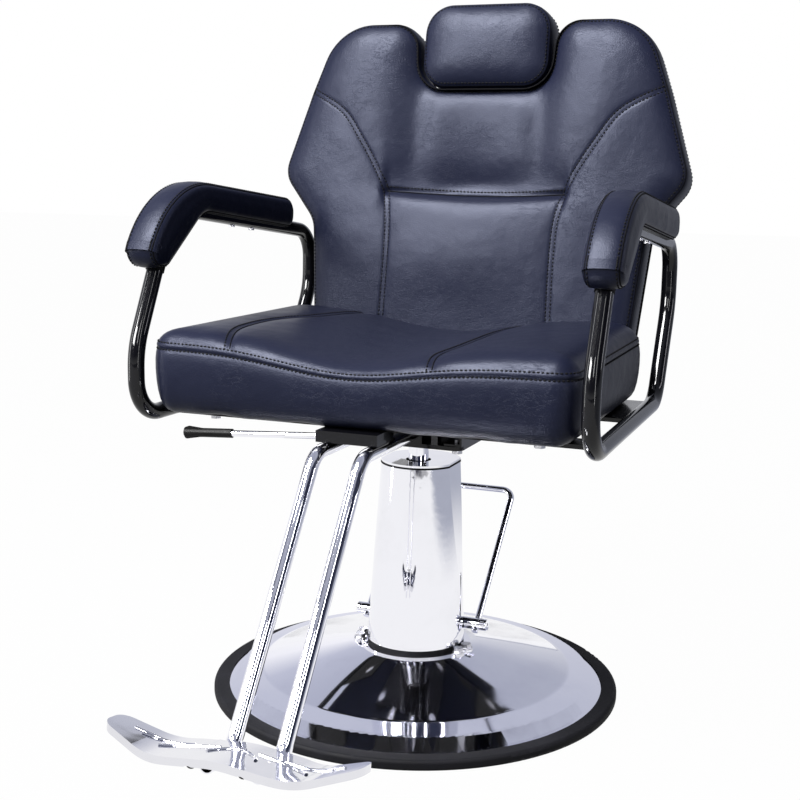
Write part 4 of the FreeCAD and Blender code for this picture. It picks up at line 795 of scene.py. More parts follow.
def rib_tree():
    bench = new_tree("swept_rib", {"Pitch": 0.004, "Radius": 0.002})
    inputs = tree_inputs(bench)
    points = path_from(bench, inputs, "Pitch")
    sizes = {"Resolution": 12, "Radius": inputs["Radius"]}
    rim = bench.node("GeometryNodeCurvePrimitiveCircle", {}, sizes)
    swept = bench.node("GeometryNodeCurveToMesh", {}, {
        "Curve": points, "Profile Curve": rim, "Fill Caps": True})
    return end_tree(bench, swept, inputs)


sewn_row = stitch_tree()
swept_rib = rib_tree()
print("geometry trees", sewn_row.name, swept_rib.name)

# %% Growing a piece from its paths
def paths_mesh(name, paths):
    """Edges along several 3-D paths, in metres."""
    points, edges = [], []
    for path in paths:
        start = len(points)
        points.extend(tuple(p) for p in path)
        edges.extend((start + i, start + i + 1) for i in range(len(path) - 1))
    mesh = bpy.data.meshes.new(name)
    mesh.from_pydata(points, edges, [])
    return mesh


def grown(name, mesh, tree, material, **sizes):
    """Run a geometry tree on a mesh and keep the plain mesh that it makes."""
    host = bpy.data.objects.new(name + "_host", mesh)
    bpy.context.scene.collection.objects.link(host)
    modifier = host.modifiers.new("grow", "NODES")
    modifier.node_group = tree
    wanted = {"Material": material, **{key.replace("_", " "): value for key, value in sizes.items()}}
    for item in tree.interface.items_tree:
        if item.in_out == "INPUT" and item.name in wanted:
            modifier[item.identifier] = wanted[item.name]
    made = bpy.data.meshes.new_from_object(host.evaluated_get(bpy.context.evaluated_depsgraph_get()))
    bpy.data.objects.remove(host)
    piece = bpy.data.objects.new(name, made)
    bpy.context.scene.collection.objects.link(piece)
    print(name, "has", len(made.polygons), "faces")
    return piece


# %% [markdown]
# The seat is a boxed cushion. Its top sinks in the middle and rises to a soft crest at each side,
# and two curved seams divide it into a middle panel and two bolsters. Round the top edge runs a
# flat strip between two sewn rows, and in front this edge dips with the hollow of the seat.

# %% Seat sizes
SEAT_CORNERS = [(-291, -247, 32), (291, -247, 32), (283, 165, 46), (-283, 165, 46)]
SEAT_SPACING = 6
SEAT_BOTTOM = 421
SEAT_EDGE = 514
SEAT_EDGE_DIP = 20
SEAT_EDGE_DIP_WIDTH = 120
SEAT_EDGE_LIFT = 4
SEAT_CREST = 538
SEAT_HOLLOW = 30
SEAT_HOLLOW_WIDTH = 122
SEAT_SHOULDER = 14
# The waves at the hem fade out at this share of the wall's height
HEM_SHARE = 0.2
# How seams draw the cover in: a depth, how far off the seam it lies, and a width
SEAT_PULLS = ((1.8, 0, 4), (2.0, 0, 16))
# Each ring of the wall: its share of the wall's height, and how far it is drawn in
SEAT_WALL = (
    (0.0, 52), (0.0, 40), (0.004, 30), (0.022, 21), (0.06, 13.5), (0.12, 8), (0.2, 4.2), (0.32, 1.4),
    (0.46, -0.4), (0.62, -1.3), (0.76, -1.2), (0.85, -0.2), (0.895, 0.9), (0.91, 2.2), (0.925, 1.2),
    (0.955, 0.7), (0.985, 1.6), (1.0, 3.2),
)
LEFT_SEAT_SEAM = smooth_path([
    (-166, -252), (-193, -170), (-200, -90), (-190, -30), (-172, 18), (-140, 170)])
RIGHT_SEAT_SEAM = smooth_path([
    (110, -252), (101, -190), (102, -127), (98, -40), (96, 70), (124, 170)])
SEAT_SEAMS = (LEFT_SEAT_SEAM, RIGHT_SEAT_SEAM)


def pulled_in(p, seams, pulls):
    """How far seams draw a cover in at some points of its face."""
    total = 0
    for seam in seams:
        away = distance_to(p, seam)
        total = total + sum(depth * bell(away - offset, width) for depth, offset, width in pulls)
    return total


def seat_edge(p):
    """Height of the upper sewn row round the seat. It dips most in front."""
    x, y = p.T
    dip = SEAT_EDGE_DIP * bell(x, SEAT_EDGE_DIP_WIDTH) * (0.55 + 0.45 * rising(-y - 100, 60))
    return SEAT_EDGE + SEAT_EDGE_LIFT * rising(-x - 150, 60) - dip


def seat_height(p):
    """Height of the seat's top over the floor."""
    inner = SEAT_CREST - SEAT_HOLLOW * bell(p[:, 0], SEAT_HOLLOW_WIDTH)
    swell = 1 - np.exp(-(distance_to(p, closed(seat_border)) / SEAT_SHOULDER) ** 0.85)
    return seat_edge(p) + (inner - seat_edge(p)) * swell - pulled_in(p, SEAT_SEAMS, SEAT_PULLS)


def seat_lift(p, height):
    return np.column_stack([p, np.zeros(len(p)) + height]) * MM


def seat_wall(p, share):
    """Points of the seat's wall at a share of its height."""
    return seat_lift(p, SEAT_BOTTOM + (seat_edge(p) - SEAT_BOTTOM) * share + hem_wave(p, share))


def hem_wave(p, share):
    """The slight waves where the cover is pulled under the board and stapled."""
    x, y = p.T
    wave = 0.9 * np.sin(x / 19 + 0.8 * np.sin(y / 31)) + 0.7 * np.sin(x / 9.5 + y / 14)
    return wave * max(0.0, 1 - share / HEM_SHARE)


seat_outline = Outline(SEAT_CORNERS, SEAT_SPACING)
seat_border = seat_outline.ring(SEAT_WALL[-1][1])
print("seat edge runs", round(np.linalg.norm(np.diff(closed(seat_border), axis=0), axis=1).sum()), "mm")

# %% Seat cushion
EDGE_ROWS = (2.5, 6, 11, 18)
SEAM_ROWS = (-9, -5, -2.2, 0, 2.2, 5, 9)
# A flat face that is never seen needs few triangles
HIDDEN_SPACING = 60


def seam_rows(path, offsets):
    return [beside(path, offset) for offset in offsets]


def seat_skin():
    rows = seat_outline.rows(SEAT_WALL[-1][1], EDGE_ROWS)
    for seam in SEAT_SEAMS:
        rows.extend(seam_rows(seam, SEAM_ROWS))
    spots, triangles = filled(seat_border, rows, SEAT_SPACING)
    top = seat_lift(spots, seat_height(spots))
    low, low_triangles = filled(seat_outline.ring(SEAT_WALL[0][1]), [], HIDDEN_SPACING)
    bottom = seat_lift(low, SEAT_BOTTOM)
    rings = seat_outline.wall(SEAT_WALL, seat_wall)
    return skin_of("seat_cover", rings, (top, triangles), (bottom, low_triangles))


seat = new_piece("seat_cover", seat_skin(), leather)
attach(seat, "seat")
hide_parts("seat_cushion")
print("seat cover:", len(seat.data.polygons), "faces")

# %% [markdown]
# The seat's thread follows rings of the cover and lines beside its seams. Each row is lifted a
# hair above the skin, so that half of every stitch shows, as real stitches bite into the cover.

# %% Seat stitches
SEAT_THREAD_LIFT = 0.25
# Radius of the near-black line of painted shade laid in each seat seam's crease
SEAT_SHADE_LINE_RADIUS = 0.0009
# How far a sewn row lies from its seam
THREAD_OFFSET = 7
# The two rows round the top edge: how far each is drawn in, and its share of the wall's height
SEAT_EDGE_THREADS = ((1.2, 0.905), (2.6, 1.0))


def seat_seam_path(path, offset):
    """A sewn row on the seat's top, beside a seam."""
    row = beside(path, offset)
    row = row[is_inside(row, seat_border)]
    return seat_lift(row, seat_height(row) + SEAT_THREAD_LIFT)


def sew_on(name, body, paths, tree=sewn_row, material=thread, **sizes):
    """Grow thread, or a line of painted seam shade, along paths, and let it ride with the cover that it is
    sewn to.
    """
    piece = grown(f"{name}_thread", paths_mesh(f"{name}_rows", paths), tree, material, **sizes)
    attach(piece, body)


seat_paths = [seat_seam_path(seam, THREAD_OFFSET) for seam in SEAT_SEAMS]
seat_paths += [seat_wall(seat_outline.loop(inset), share) for inset, share in SEAT_EDGE_THREADS]
sew_on("seat", "seat", seat_paths)
# Painted shade: a near-black line laid in the crease of each seat seam.
seat_shade_lines = [seat_seam_path(seam, 0) for seam in SEAT_SEAMS]
sew_on("seat_seam", "seat", seat_shade_lines, swept_rib, fold, Radius=SEAT_SHADE_LINE_RADIUS)

# %% [markdown]
# The back is one broad shaped cushion with wings at the shoulders and a notch for the headrest.
# It is drawn flat, in its own frame on the hinge, and then leaned back. Two long seams sweep down
# from the wings, a deep cross seam joins them, and a firm lumbar roll swells below it.

# %% Back sizes
HINGE_PLACE = Vector((0, 205, 428))
BACK_LEAN = 9.5
HALF_BACK = [
    (249, 18, 28), (268, 232, 50), (325, 304, 40), (284, 436, 96), (246, 541, 84), (112, 541, 40),
    (104, 440, 44),
]
BACK_CORNERS = HALF_BACK + [(-x, z, rounding) for x, z, rounding in reversed(HALF_BACK)]
BACK_SPACING = 6
BACK_FACE_SPACING = 5.5
BACK_EDGE_HEIGHT = 33.5
# The face's swells and hollows: how deep, how wide, and where they lie
BACK_CROWN = 16.5
BACK_SHOULDER = 17
BACK_HOLLOW, BACK_HOLLOW_WIDTH = 12, 128
LUMBAR_SWELL, LUMBAR_WIDTH, LUMBAR_HEIGHT, LUMBAR_REACH = 12, 122, 190, 88
NAPE_HOLLOW, NAPE_WIDTH, NAPE_TOP, NAPE_REACH = 15, 98, 445, 165
VALLEY_DEPTH, VALLEY_WIDTH, LEFT_VALLEY, RIGHT_VALLEY = 6, 27, -104, 97
WING_SWELL, WING_PLACE, WING_WIDTH, WING_HEIGHT, WING_REACH = 4.5, 190, 62, 430, 92
CROSS_HEIGHT, CROSS_REACH = 278, 146
CROSS_FOLD, CROSS_FOLD_WIDTH = 5.5, 5
CROSS_PULL, CROSS_PULL_WIDTH = 5, 24
BACK_PULLS = ((0.9, 0, 5), (1.3, 0, 18), (0.7, 3.5, 1.1))
# Each ring of the wall: how far it stands in front of the hinge line, and how far it is drawn in
BACK_WALL = (
    (33.5, 1.2), (32.4, 1.7), (31, 0.5), (25, -0.9), (14, -1.6), (0, -1.2), (-12, 0.2), (-20, 1.6),
    (-22, 2.6), (-24, 1.8), (-29, 3.2), (-32, 7), (-32.4, 14), (-32.5, 30),
)
LEFT_BACK_SEAM = smooth_path([
    (-278, 436), (-221, 402), (-187, 358), (-157.5, 311), (-143, 279), (-134.4, 234), (-132.7, 171),
    (-134, 89), (-136, 22)])
BACK_SEAMS = (LEFT_BACK_SEAM, LEFT_BACK_SEAM * np.array([-1, 1]))
CROSS_SEAM = smooth_path([(-143, 280), (-68, 277.5), (0, 276), (68, 276.5), (143, 280)])


def back_swells(x, z, above):
    """The large swells and hollows of the back. Above is 1 over the cross seam and 0 under it."""
    swell = LUMBAR_SWELL * bell(x, LUMBAR_WIDTH) * bell(z - LUMBAR_HEIGHT, LUMBAR_REACH) * (1 - above)
    swell -= BACK_HOLLOW * bell(x, BACK_HOLLOW_WIDTH) * (0.6 + 0.4 * above) * rising(z - 40, 40)
    nape = np.clip((NAPE_TOP - z) / NAPE_REACH, 0, 1) ** 1.2
    swell -= NAPE_HOLLOW * bell(x, NAPE_WIDTH) * above * nape
    valleys = bell(x - LEFT_VALLEY, VALLEY_WIDTH) + bell(x - RIGHT_VALLEY, VALLEY_WIDTH)
    swell -= VALLEY_DEPTH * valleys * rising(z - 300, 22) * (1 - 0.4 * rising(z - 450, 20))
    return swell + WING_SWELL * bell(np.abs(x) - WING_PLACE, WING_WIDTH) * bell(z - WING_HEIGHT, WING_REACH)


def back_height(p):
    """How far the front of the back cushion stands in front of the hinge line."""
    x, z = p.T
    above = rising(z - CROSS_HEIGHT, 10)
    edge = distance_to(p, closed(back_border))
    height = BACK_EDGE_HEIGHT + BACK_CROWN * (1 - np.exp(-(edge / BACK_SHOULDER) ** 0.95))
    height += back_swells(x, z, above)
    cross = np.abs(z - np.interp(x, CROSS_SEAM[:, 0], CROSS_SEAM[:, 1]))
    fold_in = CROSS_FOLD * bell(cross, CROSS_FOLD_WIDTH)
    fold_in = fold_in + (CROSS_PULL + 3 * above) * bell(cross, CROSS_PULL_WIDTH + 14 * above)
    return height - fold_in * rising(CROSS_REACH - np.abs(x), 4) - pulled_in(p, BACK_SEAMS, BACK_PULLS)


def on_back(p, height):
    """From the back's own flat frame to the room, in metres."""
    lean = math.radians(BACK_LEAN)
    x, z = p.T
    depth = -height
    y = HINGE_PLACE.y + depth * math.cos(lean) + z * math.sin(lean)
    up = HINGE_PLACE.z - depth * math.sin(lean) + z * math.cos(lean)
    return np.column_stack([x, y, up]) * MM


back_outline = Outline(BACK_CORNERS, BACK_SPACING)
back_border = back_outline.ring(BACK_WALL[0][1])
print("back seam length", round(np.linalg.norm(np.diff(LEFT_BACK_SEAM, axis=0), axis=1).sum()), "mm a side")

# %% Back cushion
BACK_SEAM_ROWS = (-12, -8, -5, -3.5, -2, 0, 2, 3.5, 5, 8, 12)
CROSS_ROWS = (-16, -11, -7, -4, -2, 0, 2, 4, 7, 11, 16)


def back_skin():
    rows = back_outline.rows(BACK_WALL[0][1], EDGE_ROWS)
    for seam in BACK_SEAMS:
        rows.extend(seam_rows(seam, BACK_SEAM_ROWS))
    rows.extend(seam_rows(CROSS_SEAM, CROSS_ROWS))
    spots, triangles = filled(back_border, rows, BACK_FACE_SPACING)
    face = on_back(spots, back_height(spots))
    low, low_triangles = filled(back_outline.ring(BACK_WALL[-1][1]), [], HIDDEN_SPACING)
    rear = on_back(low, BACK_WALL[-1][0])
    rings = back_outline.wall(BACK_WALL, on_back)
    return skin_of("back_pad", rings, (face, triangles), (rear, low_triangles))


back = new_piece("back_pad", back_skin(), leather)
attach(back, "back")
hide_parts("back_cushion")
print("back cushion:", len(back.data.polygons), "faces")

# %% Back stitches
BACK_THREAD_LIFT = 0.3
EDGE_THREAD_LIFT = 0.2
# Radius of the near-black lines of painted shade in the back's creases
BACK_SHADE_LINE_RADIUS = 0.0012
# Each long seam has a row on both sides
TWIN_OFFSETS = (-3.5, 3.5)
BACK_EDGE_INSET = 4.5
BACK_SIDE_INSET, BACK_SIDE_HEIGHT = 1.2, -18
# Where the line of painted shade runs round the front edge, in the crease of its seam
BACK_SHADE_LINE_INSET, BACK_SHADE_LINE_HEIGHT = 1.5, 32.2


def back_row(path, offset):
    row = beside(path, offset)
    row = row[is_inside(row, back_border)]
    return on_back(row, back_height(row) + BACK_THREAD_LIFT)


back_edge_loop = back_outline.loop(BACK_EDGE_INSET)
back_paths = [back_row(seam, offset) for seam in BACK_SEAMS for offset in TWIN_OFFSETS]
back_paths += [back_row(CROSS_SEAM, THREAD_OFFSET)]
back_paths += [on_back(back_edge_loop, back_height(back_edge_loop) + EDGE_THREAD_LIFT)]
back_paths += [on_back(back_outline.loop(BACK_SIDE_INSET), BACK_SIDE_HEIGHT)]
sew_on("back", "back", back_paths)
# Painted shade: near-black lines in the cross seam's crease and in the front edge's seam.
back_shade_lines = [back_row(CROSS_SEAM, 0), on_back(back_outline.loop(BACK_SHADE_LINE_INSET), BACK_SHADE_LINE_HEIGHT)]
sew_on("back_seam_shade", "back", back_shade_lines, swept_rib, fold, Radius=BACK_SHADE_LINE_RADIUS)

# %% [markdown]
# The headrest is a firm pillow with a gusset, a band of cover between two sewn edges. Its front
# bulges more than its rear. It shares the back's frame, and it slides on its posts.

# %% Headrest
REST_HALF_WIDTH = 101
REST_MIDDLE = 507
REST_CORNERS = [(101, 443, 39), (101, 570, 44), (-101, 570, 44), (-101, 443, 39)]
REST_SPACING = 5
REST_REAR_SPACING = 6
REST_CROWN, REST_SHOULDER = 11, 13
REST_SWELL, REST_HALF_HEIGHT = 8, 63
REST_REAR_CROWN, REST_REAR_SHOULDER = 9, 26
REST_EDGE_ROWS = (2, 4, 6, 10, 15)
# Each ring of the wall, told as for the back
REST_WALL = (
    (29, 1.6), (27.8, 2.4), (26, 1.0), (18, -0.6), (4, -1.2), (-10, -0.6), (-20, 1.2), (-24, 3), (-26, 6),
)
rest_outline = Outline(REST_CORNERS, REST_SPACING)
rest_border = rest_outline.ring(REST_WALL[0][1])
rest_rear_border = rest_outline.ring(REST_WALL[-1][1])


def rest_front(p):
    x, z = p.T
    crown = 1 - np.exp(-(distance_to(p, closed(rest_border)) / REST_SHOULDER) ** 0.95)
    across = np.clip(1 - (x / REST_HALF_WIDTH) ** 2, 0, 1)
    swell = across * np.clip(1 - ((z - REST_MIDDLE) / REST_HALF_HEIGHT) ** 2, 0, 1)
    return REST_WALL[0][0] + REST_CROWN * crown + REST_SWELL * swell


def rest_rear(p):
    edge = distance_to(p, closed(rest_rear_border))
    return REST_WALL[-1][0] - REST_REAR_CROWN * (1 - np.exp(-(edge / REST_REAR_SHOULDER) ** 1.2))


def rest_skin():
    rows = rest_outline.rows(REST_WALL[0][1], REST_EDGE_ROWS)
    spots, triangles = filled(rest_border, rows, REST_SPACING)
    face = on_back(spots, rest_front(spots))
    behind, rear_triangles = filled(rest_rear_border, [], REST_REAR_SPACING)
    rear = on_back(behind, rest_rear(behind))
    rings = rest_outline.wall(REST_WALL, on_back)
    return skin_of("headrest_pillow", rings, (face, triangles), (rear, rear_triangles))


headrest = new_piece("headrest_pillow", rest_skin(), leather)
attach(headrest, "headrest")
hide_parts("headrest_cushion")
print("headrest:", len(headrest.data.polygons), "faces")

# %% Headrest stitches
REST_EDGE_INSET = 5
REST_SIDE_INSET, REST_SIDE_HEIGHT = 0.0, -16
# Where the line of painted shade runs round the front edge's seam, and its radius
REST_SHADE_LINE_INSET, REST_SHADE_LINE_HEIGHT = 2.0, 27.8
REST_SHADE_LINE_RADIUS = 0.0011

rest_edge_loop = rest_outline.loop(REST_EDGE_INSET)
rest_paths = [on_back(rest_edge_loop, rest_front(rest_edge_loop) + EDGE_THREAD_LIFT)]
rest_paths += [on_back(rest_outline.loop(REST_SIDE_INSET), REST_SIDE_HEIGHT)]
sew_on("headrest", "headrest", rest_paths)
# Painted shade: a near-black line in the crease of the front edge's seam.
rest_shade_lines = [on_back(rest_outline.loop(REST_SHADE_LINE_INSET), REST_SHADE_LINE_HEIGHT)]
sew_on("headrest_seam_shade", "headrest", rest_shade_lines, swept_rib, fold, Radius=REST_SHADE_LINE_RADIUS)

# %% [markdown]
# Each arm pad is a long pillow bent over the front bend of its tube. A top band runs over the
# bend from tail to nose, and a side panel is sewn to each of its edges. The outline is drawn in
# the plane of the loop, which is toed in a little, and the rings step across its width.

# %% Arm pad sizes
ARM_SPREAD = 307
ARM_PIVOT_BACK = 200
ARM_TOE = 1.35
ARM_KNEE = np.array([-46.0, 507.0])
ARM_PEAK = np.array([42.7, 691.0])
ARM_HEEL = np.array([456.0, 641.0])
PAD_SPACING = 5
PAD_OUTSET = 2.5
PAD_NOSE_HEIGHT = 613
PAD_NOSE_DEPTH = 52
PAD_FRONT_RISE = 45
PAD_TOP_RISE = 38
PAD_TAIL_RISE = 43
PAD_TAIL_REACH = 322
PAD_BEND_REACH = 58
# Half of the band's rings: how far each stands from the middle plane, and how far it is drawn in
HALF_PAD_BAND = (
    (-25.4, 13), (-25.0, 9.4), (-24.0, 6.4), (-22.5, 4.0), (-21, 2.7), (-20.2, 2.4), (-19.4, 1.3),
    (-17, 0.1), (-12, -1.2), (-5, -2.0),
)
PAD_BAND = HALF_PAD_BAND + tuple((-across, inset) for across, inset in reversed(HALF_PAD_BAND))


def crossing(spot, heading, other, along):
    """Where two lines meet."""
    gap = other - spot
    reach = (gap[0] * along[1] - gap[1] * along[0]) / (heading[0] * along[1] - heading[1] * along[0])
    return spot + heading * reach


def pad_corners():
    front, top = unit(ARM_PEAK - ARM_KNEE), unit(ARM_HEEL - ARM_PEAK)
    front_line = ARM_PEAK + left_of(front) * PAD_FRONT_RISE
    top_line = ARM_PEAK + left_of(top) * PAD_TOP_RISE
    level = np.array([1.0, 0.0])
    nose = crossing(front_line, front, np.array([0.0, PAD_NOSE_HEIGHT]), level)
    under = ARM_PEAK - left_of(top)
    tail = ARM_PEAK + top * PAD_TAIL_REACH + left_of(top) * PAD_TAIL_RISE
    spots = [
        (nose, 24), (nose + level * PAD_NOSE_DEPTH, 14), (under + top * PAD_BEND_REACH, 44),
        (under + top * PAD_TAIL_REACH, 15), (tail, 22), (crossing(front_line, front, top_line, top), 152),
    ]
    return [(*spot, rounding) for spot, rounding in spots]


def on_arm(p, across, side):
    """From the plane of an arm loop to the room, in metres."""
    toe = math.radians(ARM_TOE) * side
    x = across + PAD_OUTSET * side
    y, z = p.T
    room_x = ARM_SPREAD * side + x * math.cos(toe) - y * math.sin(toe)
    room_y = -ARM_PIVOT_BACK + x * math.sin(toe) + y * math.cos(toe)
    return np.column_stack([room_x, room_y, z]) * MM


pad_outline = Outline(pad_corners(), PAD_SPACING)
print("pad outline", [tuple(round(float(v)) for v in corner) for corner in pad_outline.corners])

# %% Arm pads
CHEEK_BULGE = 3.2
CHEEK_SHOULDER = 15
PAD_THREAD_ACROSS, PAD_THREAD_INSET = 17.4, 0.1
# Where the lines of painted shade lie in the side seams' creases, and their radius
PAD_SHADE_LINE_ACROSS, PAD_SHADE_LINE_INSET = 20.2, 2.1
PAD_SHADE_LINE_RADIUS = 0.0009


def pad_skin(name, side):
    """A pad's cover. Each side panel bulges beyond its sewn edge."""
    border = pad_outline.ring(PAD_BAND[0][1])
    spots, triangles = filled(border, pad_outline.rows(PAD_BAND[0][1], (2, 4)), PAD_SPACING)
    bulge = CHEEK_BULGE * (1 - np.exp(-(distance_to(spots, closed(border)) / CHEEK_SHOULDER) ** 1.3))
    across = PAD_BAND[-1][0] + bulge
    cheeks = [(on_arm(spots, across * sign, side), triangles) for sign in (-1, 1)]
    rings = pad_outline.wall(PAD_BAND, lambda ring, across: on_arm(ring, across, side))
    return skin_of(name, rings, *cheeks)


for side, hand in ((1, "left"), (-1, "right")):
    pad = new_piece(f"arm_pad_cover_{hand}", pad_skin(f"arm_pad_cover_{hand}", side), leather)
    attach(pad, "seat")
    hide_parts(f"arm_pad_{hand}")
    rows = [on_arm(pad_outline.loop(PAD_THREAD_INSET), PAD_THREAD_ACROSS * sign, side) for sign in (-1, 1)]
    sew_on(f"arm_pad_{hand}", "seat", rows)
    # Painted shade: a near-black line in the crease of each side seam.
    folds = [on_arm(pad_outline.loop(PAD_SHADE_LINE_INSET), PAD_SHADE_LINE_ACROSS * sign, side) for sign in (-1, 1)]
    sew_on(f"arm_pad_seam_{hand}", "seat", folds, swept_rib, fold, Radius=PAD_SHADE_LINE_RADIUS)

# %% [markdown]
# A black sleeve closes each pad where the tube runs into its nose. It is a short sock, a little
# wider than the tube, and it follows the line of the tube.

# %% Pad sleeves
SLEEVE_REACH = (-7, 6)
SLEEVE_POINTS = 5
SLEEVE_RADIUS = 0.0126
SLEEVE_PITCH = 0.003


def sleeve_path(side):
    tube = unit(ARM_PEAK - ARM_KNEE)
    entry = ARM_KNEE + tube * (PAD_NOSE_HEIGHT - ARM_KNEE[1]) / tube[1]
    spots = np.array([entry + tube * step for step in np.linspace(*SLEEVE_REACH, SLEEVE_POINTS)])
    return on_arm(spots, -PAD_OUTSET * side, side)


for side, hand in ((1, "left"), (-1, "right")):
    line = paths_mesh("sleeve_line", [sleeve_path(side)])
    sizes = {"Radius": SLEEVE_RADIUS, "Pitch": SLEEVE_PITCH}
    sleeve = grown(f"pad_sleeve_{hand}", line, swept_rib, cover_cloth, **sizes)
    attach(sleeve, "seat")

# %% [markdown]
# The footrest tread is a cast plate with raised ribs for grip, nested curves that run down to its
# front edge. Each is swept along a short path that is dropped on to the cast surface, so that it
# sits half sunk in it. The left half mirrors the right.

# %% Tread ribs
TREAD_MIDDLE = np.array([0.0, -542.0, 119.0])
TREAD_TILT = 10
RIB_RADIUS = 0.0024
RIB_LIFT = -0.0004
# Along the tread and across it, in millimetres
RIB_CURVES = (
    [(-7, 15), (9, 11), (22, 3), (30, -8)],
    [(24, 13), (42, 11), (61, 7), (77, 1), (91, -9)],
    [(56, 13), (80, 12), (100, 8), (118, 1)],
    [(88, 12), (110, 11), (130, 6)],
)


def tread_surface():
    """The cast plate as a tree that a ray can be dropped on."""
    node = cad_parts["foot_tread"]
    spots = [node.matrix_world @ v.co for v in node.data.vertices]
    return BVHTree.FromPolygons(spots, [tuple(p.vertices) for p in node.data.polygons])


def on_tread(surface, x, run):
    tilt = math.radians(TREAD_TILT)
    above = Vector((x, TREAD_MIDDLE[1] + run * math.cos(tilt), TREAD_MIDDLE[2] + 60)) * MM
    hit = surface.ray_cast(above, Vector((0, 0, -1)))[0]
    return (hit.x, hit.y, hit.z + RIB_LIFT)


def rib_path(surface, curve, mirror):
    return [on_tread(surface, x * mirror, run) for x, run in smooth_path(curve, 3)]


surface = tread_surface()
rib_paths = [rib_path(surface, curve, mirror) for curve in RIB_CURVES for mirror in (1, -1)]
ribs = grown("tread_ribs", paths_mesh("rib_lines", rib_paths), swept_rib, cast_chrome, Radius=RIB_RADIUS)
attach(ribs, "seat")

# %% [markdown]
# Small turned parts come from one lathe. It spins a profile, given as radius and height, round an
# axis, and sets it where it belongs. Here it makes the countersunk screws of the footrest tubes.

# %% Turned parts
LATHE_STEPS = 20
TUBE_SCREW = ((0, -0.8), (1.3, -0.8), (1.7, 0.3), (2.9, 0.5), (3.5, 0.1), (3.7, -0.8))
FOOT_SPREAD = 31.5
FOOT_TUBE_RADIUS = 9.4
FOOT_KNEE = np.array([-276.0, 397.0])
FOOT_ANKLE = np.array([-494.0, 92.0])
TUBE_SCREW_HEIGHT = 168


def lathed(name, profile, spots, material):
    """One mesh of the same turned form at several places, each a point and an axis."""
    points, faces = [], []
    angles = np.linspace(0, math.tau, LATHE_STEPS, endpoint=False)
    for place, axis in spots:
        turn = Vector(axis).to_track_quat("Z", "Y").to_matrix()
        start = len(points)
        for radius, height in profile:
            for angle in angles:
                local = Vector((radius * math.cos(angle), radius * math.sin(angle), height))
                points.append((Vector(place) + turn @ local) * MM)
        for i in range(len(profile) - 1):
            for k in range(LATHE_STEPS):
                a, b = start + i * LATHE_STEPS + k, start + i * LATHE_STEPS + (k + 1) % LATHE_STEPS
                faces.append((a, b, b + LATHE_STEPS, a + LATHE_STEPS))
    mesh = bpy.data.meshes.new(name)
    mesh.from_pydata(points, [], faces)
    tidy_skin(mesh)
    return new_piece(name, mesh, material)


def tube_screw_spots():
    along = unit(FOOT_ANKLE - FOOT_KNEE)
    out = np.array([along[1], -along[0]])
    spot = FOOT_KNEE + along * (TUBE_SCREW_HEIGHT - FOOT_KNEE[1]) / along[1] + out * FOOT_TUBE_RADIUS
    return [((FOOT_SPREAD * side, *spot), (0, *out)) for side in (1, -1)]


screws = lathed("tube_screws", TUBE_SCREW, tube_screw_spots(), zinc)
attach(screws, "seat")
print("tube screws at", tube_screw_spots()[0][0])

# %% [markdown]
# The studio is a pale floor that runs out to white, and soft lamps. The camera, and the shine of
# metal, see a bright room, while the room's own light on the chair stays at a plain level. For
# reflections the room is grey to the right, and dark in front up to the ceiling, because chrome
# with nothing dark to reflect looks like white plastic. Two narrow strips, which light nothing,
# draw the long highlights on the black tubes.

# %% Studio room
WHITE = (1, 1, 1, 1)
ROOM_LEVEL = 0.2
ROOM_FRONT = (0.45, -0.89, 0.0)
ROOM_SIDE = (0.8, 0.6, 0.0)
# The walls' colours as metal sees them, from the floor up, and then the two darker quarters
WALL_STOPS = (
    (0.0, WHITE), (0.16, (0.98, 0.98, 1, 1)), (0.42, (0.58, 0.6, 0.7, 1)), (1.0, (0.4, 0.42, 0.52, 1)),
)
SIDE_TONE = (0.44, 0.46, 0.54, 1)
FRONT_TONE = (0.03, 0.034, 0.06, 1)
# Each pair is where a soft step starts and where it ends
SIDE_STEP = (0.1, 0.8)
FRONT_STEP = (-0.25, 0.4)
HORIZON_STEP = (-0.02, 0.14)
CEILING_STEP = (0.66, 0.76)
CEILING_SHARE = 0.85
FLOOR_FRONT_STEP = (5.5, 7.0)
FLOOR_SIDE_STEP = (0.7, 1.6)
FLOOR_TONE = (0.12, 0.12, 0.125, 1)
FLOOR_FRONT_TONE = (0.03, 0.03, 0.05, 1)
FLOOR_SHARE = 0.985
FLOOR_REACH = 14
FLOOR_DROP = 0.0004


def rays_that_see(bench):
    """1 for rays from the camera, in a reflection, or through glass."""
    seen = bench.node("ShaderNodeLightPath", out="Is Camera Ray")
    for kind in ("Is Glossy Ray", "Is Transmission Ray"):
        seen = seen.at_least(bench.node("ShaderNodeLightPath", out=kind))
    return seen


def along(bench, direction, spot):
    """How far a place or a heading lies in a direction."""
    return bench.node(
        "ShaderNodeVectorMath", {"operation": "DOT_PRODUCT"}, {0: spot, 1: direction}, out="Value")


